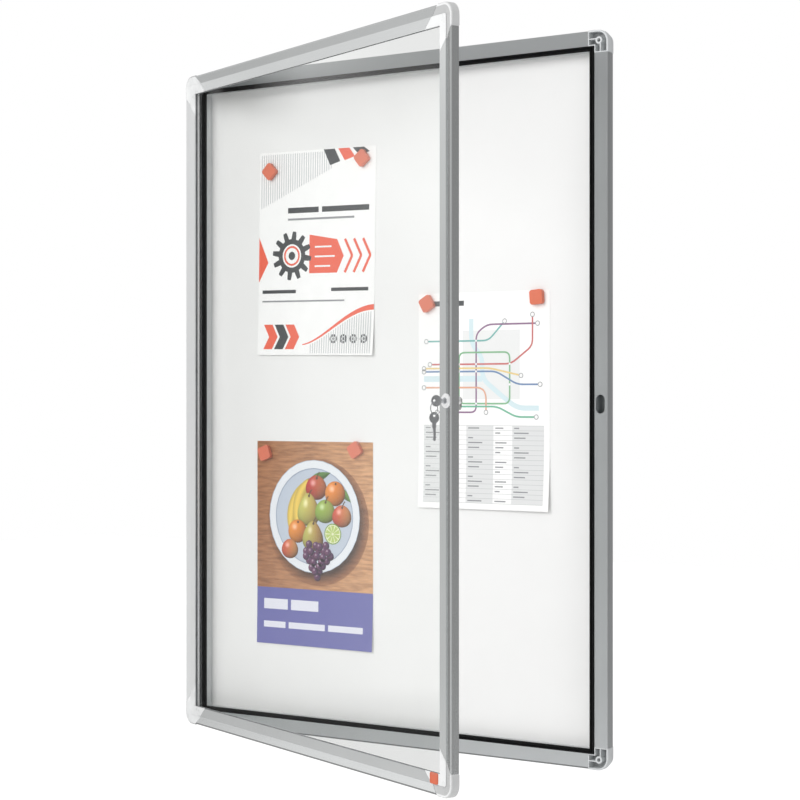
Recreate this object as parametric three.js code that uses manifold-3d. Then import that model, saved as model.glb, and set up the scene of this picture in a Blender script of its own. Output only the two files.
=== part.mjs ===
// Lockable wall case for nine upright A4 sheets, in millimetres, +Z up.
// The origin is the centre of the rear face, +X is to the right and the front looks along -Y.
// An aluminium carcass holds a steel display panel, and a glazed door hangs on its left jamb.
// Pieces are drawn in a face frame, x right, y up and z out from the wall, and turned upright at the end.
import * as THREE from "three";
import { mergeVertices } from "three/addons/utils/BufferGeometryUtils.js";
import Module from "manifold-3d";

const wasm = await Module();
wasm.setup();

// Overall sizes of the carcass
const boardWidth = 709;
const boardHeight = 968;
const boardDepth = 20;
const cornerRadius = 16;

// Clearances and counts
const seatGap = 0.15;
const bondGap = 0.1;
const cutGap = 0.3;
const overrun = 5;
const arcSteps = 6;
const roundSegments = 32;
const tolerance = 0.0001;

// Carcass extrusion: u runs in from the outer edge and z out from the wall
const railSetback = 0.8;
const railSideTaper = 3.2;
const railStraightSide = 8;
const railEdgeRadius = 1.2;
const railWall = 1.6;
const railFace = 20.6;
const railInner = 26.4;
const sealSeatDrop = 1.8;
const rebateStart = 18;

// Panels in the rear rebate
const backingThickness = 3.2;
const steelThickness = 0.8;

// Carcass corner mouldings
const cornerLeg = 30;
const cornerEdgeRadius = 1.4;
const cornerOuterWall = 2.6;
const cornerInnerWall = 1.4;
const pocketFloor = 8;
const bossPlace = 14;
const bossRadius = 4.8;
const wallScrewHoleRadius = 2.5;
const cornerRib = 1.4;
const ribOffset = 2.2;
const tongueLength = 18;
const tongueClearance = 0.85;

// Front seal strip
const sealProud = 2.1;
const sealWidth = 6.6;
const sealLipDepth = 2.4;
const sealBeadRadius = 1.5;

// Door frame extrusion: z runs out from the door's rear face
const doorInset = 2.4;
const doorSealClearance = 0.3;
const doorDepth = 12;
const doorFace = 26.3;
const doorRimRise = 1.2;
const doorRimRadius = 1.9;
const doorSlopeEnd = 12.5;
const doorStepDrop = 1.4;
const doorStepRadius = 0.3;
const doorInnerRadius = 0.5;
const doorFrontLip = 1.8;
const doorRearLipSetback = 1;
const doorWall = 1.6;
const glazingChannelDepth = 9;

// Door corner caps
const capOuterLeg = 29.5;
const capInnerLeg = 58.5;
const capProud = 1.2;
const capTongueLength = 16;
const capTongueClearance = 1.1;
const capPocketWall = 2;
const capPocketDepth = 5;

// Glazing
const glassThickness = 4;
const gasketLeg = 0.9;
const gasketShow = 0.6;
const gasketSeat = 0.1;

// Hinge: a bead along the door's stile turns in a channel of the left jamb
const hingeInset = 4.8;
const hingeDrop = 4;
const hingeBeadRadius = 3;
const hingeRunningGap = 0.15;
const hingeNeck = 1.5;
const hingeNeckGap = 0.25;
const hingeSocketWall = 1.6;
const hingeArcSteps = 14;
const doorFullOpening = THREE.MathUtils.degToRad(105);
const doorOpening = THREE.MathUtils.degToRad(22.2);

// Lock on the door's free stile and its keeper slot in the right jamb
const lockInset = 9.2;
const lockHeight = -1;
const lockFlangeRadius = 9;
const lockFlangeThickness = 2.3;
const lockFlangeChamfer = 0.8;
const lockBarrelRadius = 5.7;
const lockBarrelGap = 0.15;
const lockPlugRadius = 4;
const lockPlugGap = 0.1;
const lockPlugRecess = 0.3;
const lockNutFlats = 13;
const lockNutThickness = 1.6;
const camThickness = 1.6;
const camReach = 11.2;
const camArmWidth = 8;
const camHubRadius = 4.8;
const camGap = 0.2;
const camTang = 4.4;
const camScrewHeadRadius = 3.4;
const camScrewHeadThickness = 1.6;
const camScrewShankRadius = 1.2;
const camScrewShankLength = 6;
const slotWidth = 13.4;
const slotHeight = 24.6;
const slotDrop = 5.4;

// Keys and ring
const keyBowRadius = 7;
const keyBowFlat = 0.9;
const keyThickness = 1;
const keyHoleRadius = 1.9;
const keyHoleOffset = 2.8;
const keyBladeWidth = 4;
const keyBladeLength = 21;
const keyShoulderWidth = 5.6;
const keyShoulderLength = 6;
const keyToothDepth = 1.3;
const keyBowStandOff = 5.7;
const keywayWidth = 1.4;
const keywayClearance = 0.3;
const keywaySpare = 0.7;
const ringRadius = 7.7;
const ringWireRadius = 0.5;
const ringSegments = 48;
const ringSides = 8;
const ringHang = 1.1;

// Displayed sheets and the magnets that hold them
const sheetWidth = 210;
const sheetHeight = 297;
const sheetThickness = 0.3;
const magnetSide = 20;
const magnetThickness = 6.5;
const magnetCornerRadius = 3;
const magnetBevel = 0.8;

// Worked out from the sizes above
const rebateDepth = backingThickness + steelThickness + 2 * bondGap;
const sealSeat = boardDepth - sealSeatDrop;
const doorGap = sealProud + doorSealClearance;
const doorWidth = boardWidth - 2 * doorInset;
const doorHeight = boardHeight - 2 * doorInset;
const doorFaceLevel = doorDepth - doorRimRise;
const hingeLevel = boardDepth - hingeDrop;
const hingeSocketRadius = hingeBeadRadius + hingeRunningGap;
const hingeSlot = hingeNeck / 2 + hingeNeckGap;
const panelFront = backingThickness + bondGap + steelThickness;
const gasketOuter = glassThickness + 2 * gasketLeg + 2 * gasketSeat;
const channelTop = doorDepth - doorRimRise - doorFrontLip;
const channelBottom = channelTop - gasketOuter - 2 * gasketSeat;
const channelEdge = doorFace - glazingChannelDepth;

const finishes = {
  aluminium: { color: 0xb6babc, roughness: 0.38, metalness: 1 },
  doorAluminium: { color: 0xc2c5c6, roughness: 0.36, metalness: 1 },
  cornerPlastic: { color: 0xb9bdbf, roughness: 0.5, metalness: 0 },
  capPlastic: { color: 0xeceeee, roughness: 0.4, metalness: 0 },
  rubber: { color: 0x1f2123, roughness: 0.75, metalness: 0 },
  whiteSteel: { color: 0xf4f4f3, roughness: 0.25, metalness: 0.1 },
  backing: { color: 0x8d8f8e, roughness: 0.7, metalness: 0 },
  glass: { color: 0xe9f2f1, roughness: 0.04, metalness: 0, transparent: true, opacity: 0.25 },
  chrome: { color: 0xd4d6d8, roughness: 0.12, metalness: 1 },
  zinc: { color: 0xa7a9a8, roughness: 0.35, metalness: 1 },
  keySteel: { color: 0x85888b, roughness: 0.3, metalness: 1 },
  paper: { color: 0xf6f5f2, roughness: 0.8, metalness: 0 },
  magnet: { color: 0xee5a35, roughness: 0.35, metalness: 0 },
};

const materials = {};
for (const [name, values] of Object.entries(finishes)) {
  materials[name] = new THREE.MeshStandardMaterial(values);
}

function makePiece(name, geometry, material, parent) {
  const mesh = new THREE.Mesh(geometry, materials[material]);
  mesh.name = name;
  parent.add(mesh);
  return mesh;
}

// Drops normals, joins shared corners and leaves out triangles that closed up to a line
function weld(geometry) {
  const bare = geometry.clone();
  bare.deleteAttribute("normal");
  bare.deleteAttribute("uv");
  const joined = mergeVertices(bare, tolerance);
  const index = joined.getIndex().array;
  const kept = [];
  for (let i = 0; i < index.length; i += 3) {
    const [a, b, c] = [index[i], index[i + 1], index[i + 2]];
    if (a !== b && b !== c && c !== a) kept.push(a, b, c);
  }
  joined.setIndex(kept);
  return joined;
}

function toSolid(geometry) {
  const joined = weld(geometry);
  const vertProperties = Float32Array.from(joined.getAttribute("position").array);
  const triVerts = Uint32Array.from(joined.getIndex().array);
  return new wasm.Manifold(new wasm.Mesh({ numProp: 3, vertProperties, triVerts }));
}

function toGeometry(solid) {
  const mesh = solid.getMesh();
  const geometry = new THREE.BufferGeometry();
  geometry.setAttribute("position", new THREE.BufferAttribute(mesh.vertProperties, mesh.numProp));
  geometry.setIndex(new THREE.BufferAttribute(mesh.triVerts, 1));
  geometry.computeVertexNormals();
  return geometry;
}

// A block between two corners
function block(low, high) {
  const size = high.clone().sub(low);
  const centre = low.clone().add(high).multiplyScalar(0.5);
  const geometry = new THREE.BoxGeometry(size.x, size.y, size.z);
  geometry.translate(centre.x, centre.y, centre.z);
  return geometry;
}

// A round bar along z
function bar(radius, x, y, low, high) {
  const geometry = new THREE.CylinderGeometry(radius, radius, high - low, roundSegments);
  geometry.rotateX(Math.PI / 2);
  geometry.translate(x, y, (low + high) / 2);
  return geometry;
}

function plate(outline, low, high, holes = []) {
  const shape = new THREE.Shape(outline);
  for (const hole of holes) shape.holes.push(new THREE.Path(hole));
  const geometry = new THREE.ExtrudeGeometry(shape, { depth: high - low, bevelEnabled: false });
  geometry.translate(0, 0, low);
  return geometry;
}

function circlePoints(radius, x, y, segments) {
  const path = new THREE.Path();
  path.absarc(x, y, radius, 0, 2 * Math.PI, false);
  return path.getSpacedPoints(segments).slice(0, segments);
}

// A section drawn in (u, z) and run along x, each end cut where halfLength(u) says
function runSection(outline, holes, halfLength) {
  const shape = new THREE.Shape(outline);
  for (const hole of holes) shape.holes.push(new THREE.Path(hole));
  const geometry = new THREE.ExtrudeGeometry(shape, { depth: 1, bevelEnabled: false });
  const place = geometry.getAttribute("position");
  for (let i = 0; i < place.count; i += 1) {
    const u = place.getX(i);
    const end = place.getZ(i) === 0 ? halfLength(u) : -halfLength(u);
    place.setXYZ(i, end, -u, place.getY(i));
  }
  geometry.computeVertexNormals();
  return geometry;
}

// The same section carried round a corner whose outer corner is at the origin, legs along +x and +y
function sweepCorner(outline, radius, legEnd) {
  const rings = [];
  rings.push(outline.map((p) => [p.x, legEnd(p.x), p.y]));
  for (let step = 0; step <= arcSteps; step += 1) {
    const turn = (step / arcSteps) * (Math.PI / 2);
    rings.push(outline.map((p) => {
      const arm = Math.max(radius - p.x, 0);
      const centre = Math.max(radius, p.x);
      return [centre - arm * Math.cos(turn), centre - arm * Math.sin(turn), p.y];
    }));
  }
  rings.push(outline.map((p) => [legEnd(p.x), p.x, p.y]));
  const count = outline.length;
  const index = [];
  for (let k = 0; k + 1 < rings.length; k += 1) {
    for (let j = 0; j < count; j += 1) {
      const near = k * count + j;
      const next = k * count + ((j + 1) % count);
      index.push(near, next, next + count, near, next + count, near + count);
    }
  }
  const last = (rings.length - 1) * count;
  for (const [a, b, c] of THREE.ShapeUtils.triangulateShape(outline, [])) {
    index.push(a, c, b, last + a, last + b, last + c);
  }
  const geometry = new THREE.BufferGeometry();
  geometry.setAttribute("position", new THREE.Float32BufferAttribute(rings.flat(2), 3));
  geometry.setIndex(index);
  return weld(geometry);
}

// How far the sloping side has drawn in at level z above the wall
function sideInset(z) {
  const slopeTop = boardDepth - railStraightSide;
  return railSideTaper * Math.max(1 - z / slopeTop, 0);
}

// Inner part of the carcass section, which rails and corner mouldings share
function carcassInside(path) {
  path.lineTo(rebateStart, 0);
  path.lineTo(rebateStart, rebateDepth);
  path.lineTo(railInner, rebateDepth);
  path.lineTo(railInner, sealSeat);
  path.lineTo(railFace, sealSeat);
  path.lineTo(railFace, boardDepth);
}

function carcassOutline(setback, edgeRadius) {
  const path = new THREE.Path();
  path.moveTo(setback + railSideTaper, 0);
  carcassInside(path);
  path.lineTo(setback + edgeRadius, boardDepth);
  path.absarc(setback + edgeRadius, boardDepth - edgeRadius, edgeRadius, Math.PI / 2, Math.PI, false);
  path.lineTo(setback, boardDepth - railStraightSide);
  return path.getPoints(arcSteps / 2);
}

const chamberFloor = rebateDepth + railWall;
const chamberStep = railFace - railWall;
const chamberInner = railInner - railWall;
const chamberLowRoof = sealSeat - railWall;
const chamberRoof = boardDepth - railWall;

// The left jamb's outline opens on its front and side so that the hinge neck can swing
function hingeJambOutline() {
  const half = Math.acos(hingeSlot / hingeSocketRadius);
  const slotAngle = Math.PI / 2 - half;
  const lastAngle = Math.PI / 2 + doorFullOpening + slotAngle;
  const lipX = hingeInset + hingeSocketRadius * Math.cos(lastAngle);
  const lipZ = hingeLevel + hingeSocketRadius * Math.sin(lastAngle);
  const lipRun = lipX - railSetback;
  const path = new THREE.Path();
  path.moveTo(railSetback + railSideTaper, 0);
  carcassInside(path);
  path.lineTo(hingeInset + hingeSlot, boardDepth);
  path.absarc(hingeInset, hingeLevel, hingeSocketRadius, half, lastAngle - 2 * Math.PI, true);
  path.lineTo(railSetback, lipZ - lipRun * Math.tan(doorFullOpening - Math.PI / 2));
  path.lineTo(railSetback, boardDepth - railStraightSide);
  return path.getPoints(hingeArcSteps);
}

function chamberOutline() {
  const path = new THREE.Path();
  path.moveTo(railSetback + sideInset(chamberFloor) + railWall, chamberFloor);
  path.lineTo(chamberInner, chamberFloor);
  path.lineTo(chamberInner, chamberLowRoof);
  path.lineTo(chamberStep, chamberLowRoof);
  path.lineTo(chamberStep, chamberRoof);
  path.lineTo(railSetback + railWall, chamberRoof);
  path.lineTo(railSetback + railWall, boardDepth - railStraightSide);
  return path.getPoints();
}

const hingeWallEdge = hingeInset + hingeSocketRadius + hingeSocketWall;
const hingeWallFloor = hingeLevel - hingeSocketRadius - hingeSocketWall;

function hingeChamberOutline() {
  const path = new THREE.Path();
  path.moveTo(railSetback + sideInset(chamberFloor) + railWall, chamberFloor);
  path.lineTo(chamberInner, chamberFloor);
  path.lineTo(chamberInner, chamberLowRoof);
  path.lineTo(chamberStep, chamberLowRoof);
  path.lineTo(chamberStep, chamberRoof);
  path.lineTo(hingeWallEdge, chamberRoof);
  path.lineTo(hingeWallEdge, hingeWallFloor);
  path.lineTo(railSetback + sideInset(hingeWallFloor) + railWall, hingeWallFloor);
  return path.getPoints();
}

// A second, shallow chamber beside the panel rebate
function footChamberOutline() {
  const floor = railWall;
  const roof = chamberFloor - railWall;
  const path = new THREE.Path();
  path.moveTo(railSetback + sideInset(floor) + railWall, floor);
  path.lineTo(rebateStart - railWall, floor);
  path.lineTo(rebateStart - railWall, roof);
  path.lineTo(railSetback + sideInset(roof) + railWall, roof);
  return path.getPoints();
}

const sides = [
  { name: "top", turn: 0, x: 0, y: 1, along: "width" },
  { name: "left", turn: Math.PI / 2, x: -1, y: 0, along: "height" },
  { name: "bottom", turn: Math.PI, x: 0, y: -1, along: "width" },
  { name: "right", turn: -Math.PI / 2, x: 1, y: 0, along: "height" },
];

const corners = [
  { name: "bottom_left", turn: 0, x: -1, y: -1 },
  { name: "bottom_right", turn: Math.PI / 2, x: 1, y: -1 },
  { name: "top_right", turn: Math.PI, x: 1, y: 1 },
  { name: "top_left", turn: -Math.PI / 2, x: -1, y: 1 },
];

function seatOnSide(mesh, side, width, height) {
  mesh.rotation.z = side.turn;
  mesh.position.set((side.x * width) / 2, (side.y * height) / 2, 0);
}

function sideLength(side, width, height) {
  return side.along === "width" ? width : height;
}

function keeperSlot(jamb) {
  const centreU = doorInset + lockInset;
  const end = slotWidth / 2;
  const run = slotHeight / 2 - end;
  const path = new THREE.Path();
  path.absarc(slotDrop + run, -centreU, end, -Math.PI / 2, Math.PI / 2, false);
  path.absarc(slotDrop - run, -centreU, end, Math.PI / 2, 1.5 * Math.PI, false);
  const cutter = plate(path.getPoints(arcSteps), boardDepth - railWall - cutGap, boardDepth + overrun);
  return toGeometry(toSolid(jamb).subtract(toSolid(cutter)));
}

function addCarcassRails(parent) {
  const names = { top: "carcass_top_rail", bottom: "carcass_bottom_rail" };
  names.left = "carcass_hinge_jamb";
  names.right = "carcass_lock_jamb";
  for (const side of sides) {
    const hinged = side.name === "left";
    const outline = hinged ? hingeJambOutline() : carcassOutline(railSetback, railEdgeRadius);
    const chamber = hinged ? hingeChamberOutline() : chamberOutline();
    const half = sideLength(side, boardWidth, boardHeight) / 2 - cornerLeg - seatGap;
    let rail = runSection(outline, [chamber, footChamberOutline()], () => half);
    if (side.name === "right") rail = keeperSlot(rail);
    seatOnSide(makePiece(names[side.name], rail, "aluminium", parent), side, boardWidth, boardHeight);
  }
}

// Outline of the open tray in a corner moulding, seen from the front
function pocketOutline() {
  const outer = cornerOuterWall;
  const inner = railFace - cornerInnerWall;
  const end = cornerLeg - cornerInnerWall;
  const path = new THREE.Path();
  path.moveTo(cornerRadius, outer);
  path.lineTo(end, outer);
  path.lineTo(end, inner);
  path.lineTo(inner, inner);
  path.lineTo(inner, end);
  path.lineTo(outer, end);
  path.lineTo(outer, cornerRadius);
  path.absarc(cornerRadius, cornerRadius, cornerRadius - outer, Math.PI, 1.5 * Math.PI, false);
  return path.getPoints(arcSteps);
}

// A corner moulding: the rail's section round the corner, a ribbed tray, a screw boss and two tongues
function carcassCorner() {
  const body = toSolid(sweepCorner(carcassOutline(0, cornerEdgeRadius), cornerRadius, () => cornerLeg));
  const top = boardDepth + overrun;
  const ribLow = bossPlace - ribOffset - cornerRib / 2;
  const ribHigh = bossPlace - ribOffset + cornerRib / 2;
  const ribs = [
    block(new THREE.Vector3(bossPlace, ribLow, 0), new THREE.Vector3(cornerLeg, ribHigh, top)),
    block(new THREE.Vector3(ribLow, bossPlace, 0), new THREE.Vector3(ribHigh, cornerLeg, top)),
    bar(bossRadius, bossPlace, bossPlace, 0, top),
  ];
  let tray = toSolid(plate(pocketOutline(), pocketFloor, top));
  for (const rib of ribs) tray = tray.subtract(toSolid(rib));
  const inner = hingeWallEdge + tongueClearance;
  const outer = chamberInner - tongueClearance;
  const low = chamberFloor + tongueClearance;
  const high = chamberLowRoof - tongueClearance;
  const start = cornerLeg - cornerInnerWall;
  const end = cornerLeg + tongueLength;
  const alongX = block(new THREE.Vector3(start, inner, low), new THREE.Vector3(end, outer, high));
  const alongY = block(new THREE.Vector3(inner, start, low), new THREE.Vector3(outer, end, high));
  const hole = bar(wallScrewHoleRadius, bossPlace, bossPlace, -overrun, top);
  return toGeometry(body.subtract(tray).add(toSolid(alongX)).add(toSolid(alongY)).subtract(toSolid(hole)));
}

function addCarcassCorners(parent) {
  const geometry = carcassCorner();
  for (const corner of corners) {
    const mesh = makePiece(`carcass_corner_${corner.name}`, geometry.clone(), "cornerPlastic", parent);
    mesh.rotation.z = corner.turn;
    mesh.position.set((corner.x * boardWidth) / 2, (corner.y * boardHeight) / 2, 0);
  }
}

// Seal section: twin beads in front, seated in the step and wrapped over the inner edge
function sealOutline() {
  const outer = railFace + seatGap;
  const inner = railFace + sealWidth;
  const base = sealSeat + bondGap;
  const beadLevel = boardDepth + sealProud - sealBeadRadius;
  const lip = boardDepth - sealLipDepth;
  const path = new THREE.Path();
  path.moveTo(outer, base);
  path.lineTo(railInner + seatGap, base);
  path.lineTo(railInner + seatGap, lip);
  path.lineTo(inner, lip);
  path.lineTo(inner, beadLevel);
  path.absarc(inner - sealBeadRadius, beadLevel, sealBeadRadius, 0, Math.PI, false);
  path.absarc(outer + sealBeadRadius, beadLevel, sealBeadRadius, 0, Math.PI, false);
  return path.getPoints(arcSteps / 2);
}

function addSeals(parent) {
  for (const side of sides) {
    const half = sideLength(side, boardWidth, boardHeight) / 2 - seatGap;
    const strip = runSection(sealOutline(), [], (u) => half - u);
    seatOnSide(makePiece(`seal_${side.name}`, strip, "rubber", parent), side, boardWidth, boardHeight);
  }
}

function addPanels(parent) {
  const width = boardWidth - 2 * (rebateStart + cutGap);
  const height = boardHeight - 2 * (rebateStart + cutGap);
  const backing = new THREE.BoxGeometry(width, height, backingThickness);
  makePiece("backing_board", backing, "backing", parent).position.z = backingThickness / 2;
  const steel = new THREE.BoxGeometry(width, height, steelThickness);
  const panel = makePiece("steel_display_panel", steel, "whiteSteel", parent);
  panel.position.z = panelFront - steelThickness / 2;
}

// Places on the panel as shares of the clear sheet grid: centre x, centre y and turn
const notices = [
  { name: "notice_upper_left", xShare: -0.202, yShare: 0.2332, turn: THREE.MathUtils.degToRad(-0.8) },
  { name: "notice_lower_left", xShare: -0.2073, yShare: -0.228, turn: 0 },
  { name: "notice_right", xShare: 0.2322, yShare: -0.001, turn: 0 },
];

const magnetTurns = [45, 40, 20, 33, 30, 4].map((value) => THREE.MathUtils.degToRad(value));
// Each magnet's place on its sheet, as shares of the sheet's width and height from its centre
const magnetShares = [
  [0, -0.4, 0.405],
  [0, 0.394, 0.443],
  [1, -0.42, 0.441],
  [1, 0.36, 0.463],
  [2, -0.423, 0.453],
  [2, 0.413, 0.468],
];

function magnetShape() {
  const side = magnetSide - 2 * magnetBevel;
  const straight = side / 2 - magnetCornerRadius;
  const path = new THREE.Path();
  path.absarc(straight, straight, magnetCornerRadius, 0, Math.PI / 2, false);
  path.absarc(-straight, straight, magnetCornerRadius, Math.PI / 2, Math.PI, false);
  path.absarc(-straight, -straight, magnetCornerRadius, Math.PI, 1.5 * Math.PI, false);
  path.absarc(straight, -straight, magnetCornerRadius, 1.5 * Math.PI, 2 * Math.PI, false);
  return new THREE.Shape(path.getPoints(arcSteps / 2));
}

function addNotices(parent) {
  const clearWidth = boardWidth - 2 * railInner;
  const clearHeight = boardHeight - 2 * railInner;
  const sheetGroups = [];
  for (const notice of notices) {
    const group = new THREE.Group();
    group.position.set(notice.xShare * clearWidth, notice.yShare * clearHeight, panelFront + bondGap);
    group.rotation.z = notice.turn;
    parent.add(group);
    const sheet = new THREE.BoxGeometry(sheetWidth, sheetHeight, sheetThickness);
    makePiece(notice.name, sheet, "paper", group).position.z = sheetThickness / 2;
    sheetGroups.push(group);
  }
  const settings = { depth: magnetThickness - 2 * magnetBevel, bevelSize: magnetBevel, bevelSegments: 2 };
  settings.bevelThickness = magnetBevel;
  magnetShares.forEach(([sheet, xShare, yShare], place) => {
    const geometry = new THREE.ExtrudeGeometry(magnetShape(), settings);
    geometry.translate(0, 0, magnetBevel);
    const mesh = makePiece(`magnet_${place + 1}`, geometry, "magnet", sheetGroups[sheet]);
    mesh.position.set(xShare * sheetWidth, yShare * sheetHeight, sheetThickness + bondGap);
    mesh.rotation.z = magnetTurns[place];
  });
}

// Door section with a raised rim, a slope, a step up to the flat face and the glazing channel
function doorOutside(path) {
  path.lineTo(doorFace - doorRearLipSetback, 0);
  path.lineTo(doorFace - doorRearLipSetback, channelBottom);
  path.lineTo(channelEdge, channelBottom);
  path.lineTo(channelEdge, channelTop);
  path.lineTo(doorFace, channelTop);
  path.lineTo(doorFace, doorFaceLevel - doorInnerRadius);
  path.lineTo(doorFace - doorInnerRadius, doorFaceLevel);
  path.lineTo(doorSlopeEnd + doorStepRadius, doorFaceLevel);
  path.lineTo(doorSlopeEnd, doorFaceLevel - doorStepRadius);
  path.lineTo(doorSlopeEnd, doorFaceLevel - doorStepDrop);
  path.lineTo(doorRimRadius, doorDepth);
  path.absarc(doorRimRadius, doorDepth - doorRimRadius, doorRimRadius, Math.PI / 2, Math.PI, false);
}

function doorOutline() {
  const path = new THREE.Path();
  path.moveTo(0, 0);
  doorOutside(path);
  return path.getPoints(arcSteps / 2);
}

const beadInset = hingeInset - doorInset;
const beadLevel = -(doorGap + hingeDrop);

// The hinge stile's outline leaves its rear face for the neck and the bead
function hingeStileOutline() {
  const half = Math.acos(hingeNeck / 2 / hingeBeadRadius);
  const path = new THREE.Path();
  path.moveTo(0, 0);
  path.lineTo(beadInset - hingeNeck / 2, 0);
  path.absarc(beadInset, beadLevel, hingeBeadRadius, Math.PI - half, 2 * Math.PI + half, false);
  path.lineTo(beadInset + hingeNeck / 2, 0);
  doorOutside(path);
  return path.getPoints(hingeArcSteps / 2);
}

function doorChamberOutline() {
  const roof = doorFaceLevel - doorStepDrop - doorWall;
  const slopeRoof = doorDepth - doorRimRadius - doorWall / 2;
  const path = new THREE.Path();
  path.moveTo(doorWall, doorWall);
  path.lineTo(channelEdge - doorWall, doorWall);
  path.lineTo(channelEdge - doorWall, roof);
  path.lineTo(doorSlopeEnd, roof);
  path.lineTo(doorWall + doorRimRadius, slopeRoof);
  path.lineTo(doorWall, slopeRoof - doorRimRadius / 2);
  return path.getPoints();
}

function capEnd(u) {
  return capOuterLeg + (u / doorFace) * (capInnerLeg - capOuterLeg);
}

function drillForLock(stile) {
  const hole = lockBarrelRadius + lockBarrelGap;
  const cutter = bar(hole, -lockHeight, -lockInset, -overrun, doorDepth + overrun);
  return toGeometry(toSolid(stile).subtract(toSolid(cutter)));
}

function addDoorFrame(parent) {
  const names = { top: "door_top_rail", left: "door_hinge_stile" };
  names.bottom = "door_bottom_rail";
  names.right = "door_lock_stile";
  for (const side of sides) {
    const outline = side.name === "left" ? hingeStileOutline() : doorOutline();
    const half = sideLength(side, doorWidth, doorHeight) / 2 - cutGap;
    let stile = runSection(outline, [doorChamberOutline()], (u) => half - capEnd(u));
    if (side.name === "right") stile = drillForLock(stile);
    seatOnSide(makePiece(names[side.name], stile, "doorAluminium", parent), side, doorWidth, doorHeight);
  }
}

// The door's section with its rim moved out, so that a cap stands proud of the extrusions
function capOutline() {
  const rimEnd = doorRimRadius + tolerance;
  return doorOutline().map((p) => new THREE.Vector2(p.x > rimEnd ? p.x : p.x - capProud, p.y));
}

// A corner cap: its section round the corner, two tongues and trays let into its rear
function doorCap() {
  const body = toSolid(sweepCorner(capOutline(), cornerRadius, capEnd));
  const low = doorWall + capTongueClearance;
  const high = doorDepth - doorRimRadius - doorWall - doorRimRadius / 2 - capTongueClearance / 2;
  const inner = doorWall + capTongueClearance;
  const outer = channelEdge - doorWall - capTongueClearance;
  const start = capOuterLeg - cutGap;
  const end = capEnd(outer) + capTongueLength;
  const alongX = block(new THREE.Vector3(start, inner, low), new THREE.Vector3(end, outer, high));
  const alongY = block(new THREE.Vector3(inner, start, low), new THREE.Vector3(outer, end, high));
  const trayEnd = channelEdge - capPocketWall;
  const legEnd = capOuterLeg - capPocketWall;
  const trays = [
    [cornerRadius / 2, cornerRadius / 2, trayEnd, trayEnd],
    [trayEnd + capPocketWall, capPocketWall, legEnd, trayEnd],
    [capPocketWall, trayEnd + capPocketWall, trayEnd, legEnd],
  ];
  let cap = body.add(toSolid(alongX)).add(toSolid(alongY));
  for (const [x0, y0, x1, y1] of trays) {
    const tray = block(new THREE.Vector3(x0, y0, -overrun), new THREE.Vector3(x1, y1, capPocketDepth));
    cap = cap.subtract(toSolid(tray));
  }
  return toGeometry(cap);
}

function addDoorCaps(parent) {
  const geometry = doorCap();
  for (const corner of corners) {
    const mesh = makePiece(`door_cap_${corner.name}`, geometry.clone(), "capPlastic", parent);
    mesh.rotation.z = corner.turn;
    mesh.position.set((corner.x * doorWidth) / 2, (corner.y * doorHeight) / 2, 0);
  }
}

const gasketLow = channelBottom + gasketSeat;
const gasketHigh = channelTop - gasketSeat;
const gasketBack = channelEdge + gasketSeat;
const paneLow = gasketLow + gasketLeg + gasketSeat;
const paneEdge = gasketBack + gasketLeg + gasketSeat;

// The glazing gasket wraps the pane's edge and shows as a thin line inside the frame
function gasketOutline() {
  const rear = doorFace - doorRearLipSetback - gasketSeat;
  const front = doorFace + gasketShow;
  const path = new THREE.Path();
  path.moveTo(gasketBack, gasketLow);
  path.lineTo(rear, gasketLow);
  path.lineTo(rear, gasketLow + gasketLeg);
  path.lineTo(gasketBack + gasketLeg, gasketLow + gasketLeg);
  path.lineTo(gasketBack + gasketLeg, gasketHigh - gasketLeg);
  path.lineTo(front, gasketHigh - gasketLeg);
  path.lineTo(front, gasketHigh - gasketLeg / 2);
  path.lineTo(front - gasketLeg / 2, gasketHigh);
  path.lineTo(gasketBack, gasketHigh);
  return path.getPoints();
}

function addGlazing(parent) {
  for (const side of sides) {
    const half = sideLength(side, doorWidth, doorHeight) / 2 - seatGap;
    const strip = runSection(gasketOutline(), [], (u) => half - u);
    const mesh = makePiece(`glazing_gasket_${side.name}`, strip, "rubber", parent);
    seatOnSide(mesh, side, doorWidth, doorHeight);
  }
  const width = doorWidth - 2 * paneEdge;
  const height = doorHeight - 2 * paneEdge;
  const pane = new THREE.BoxGeometry(width, height, glassThickness);
  makePiece("glass_pane", pane, "glass", parent).position.z = paneLow + glassThickness / 2;
}

// A turned piece whose profile is given as (radius, z) points, from low to high outside
function turned(profile) {
  const points = profile.map(([radius, level]) => new THREE.Vector2(radius, level));
  points.push(points[0].clone());
  const geometry = new THREE.LatheGeometry(points, roundSegments);
  geometry.rotateX(Math.PI / 2);
  return geometry;
}

const flangeBack = doorDepth + seatGap;
const flangeFront = flangeBack + lockFlangeThickness;
const camTop = -(doorGap + boardDepth - chamberLowRoof + camGap);
const barrelEnd = camTop + camGap;
const camBottom = camTop - camThickness;
const plugFront = flangeFront - lockPlugRecess;

function addLockBody(parent) {
  const bore = lockPlugRadius + lockPlugGap;
  const body = turned([
    [bore, barrelEnd],
    [lockBarrelRadius, barrelEnd],
    [lockBarrelRadius, flangeBack],
    [lockFlangeRadius, flangeBack],
    [lockFlangeRadius, flangeFront - lockFlangeChamfer],
    [lockFlangeRadius - lockFlangeChamfer, flangeFront],
    [bore, flangeFront],
  ]);
  makePiece("lock_body", body, "chrome", parent);
  const corner = lockNutFlats / 2 / Math.cos(Math.PI / 6);
  const hexagon = circlePoints(corner, 0, 0, 6);
  const thread = circlePoints(lockBarrelRadius + lockBarrelGap, 0, 0, roundSegments);
  const nut = plate(hexagon, -bondGap - lockNutThickness, -bondGap, [thread]);
  makePiece("lock_nut", nut, "zinc", parent);
}

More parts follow.
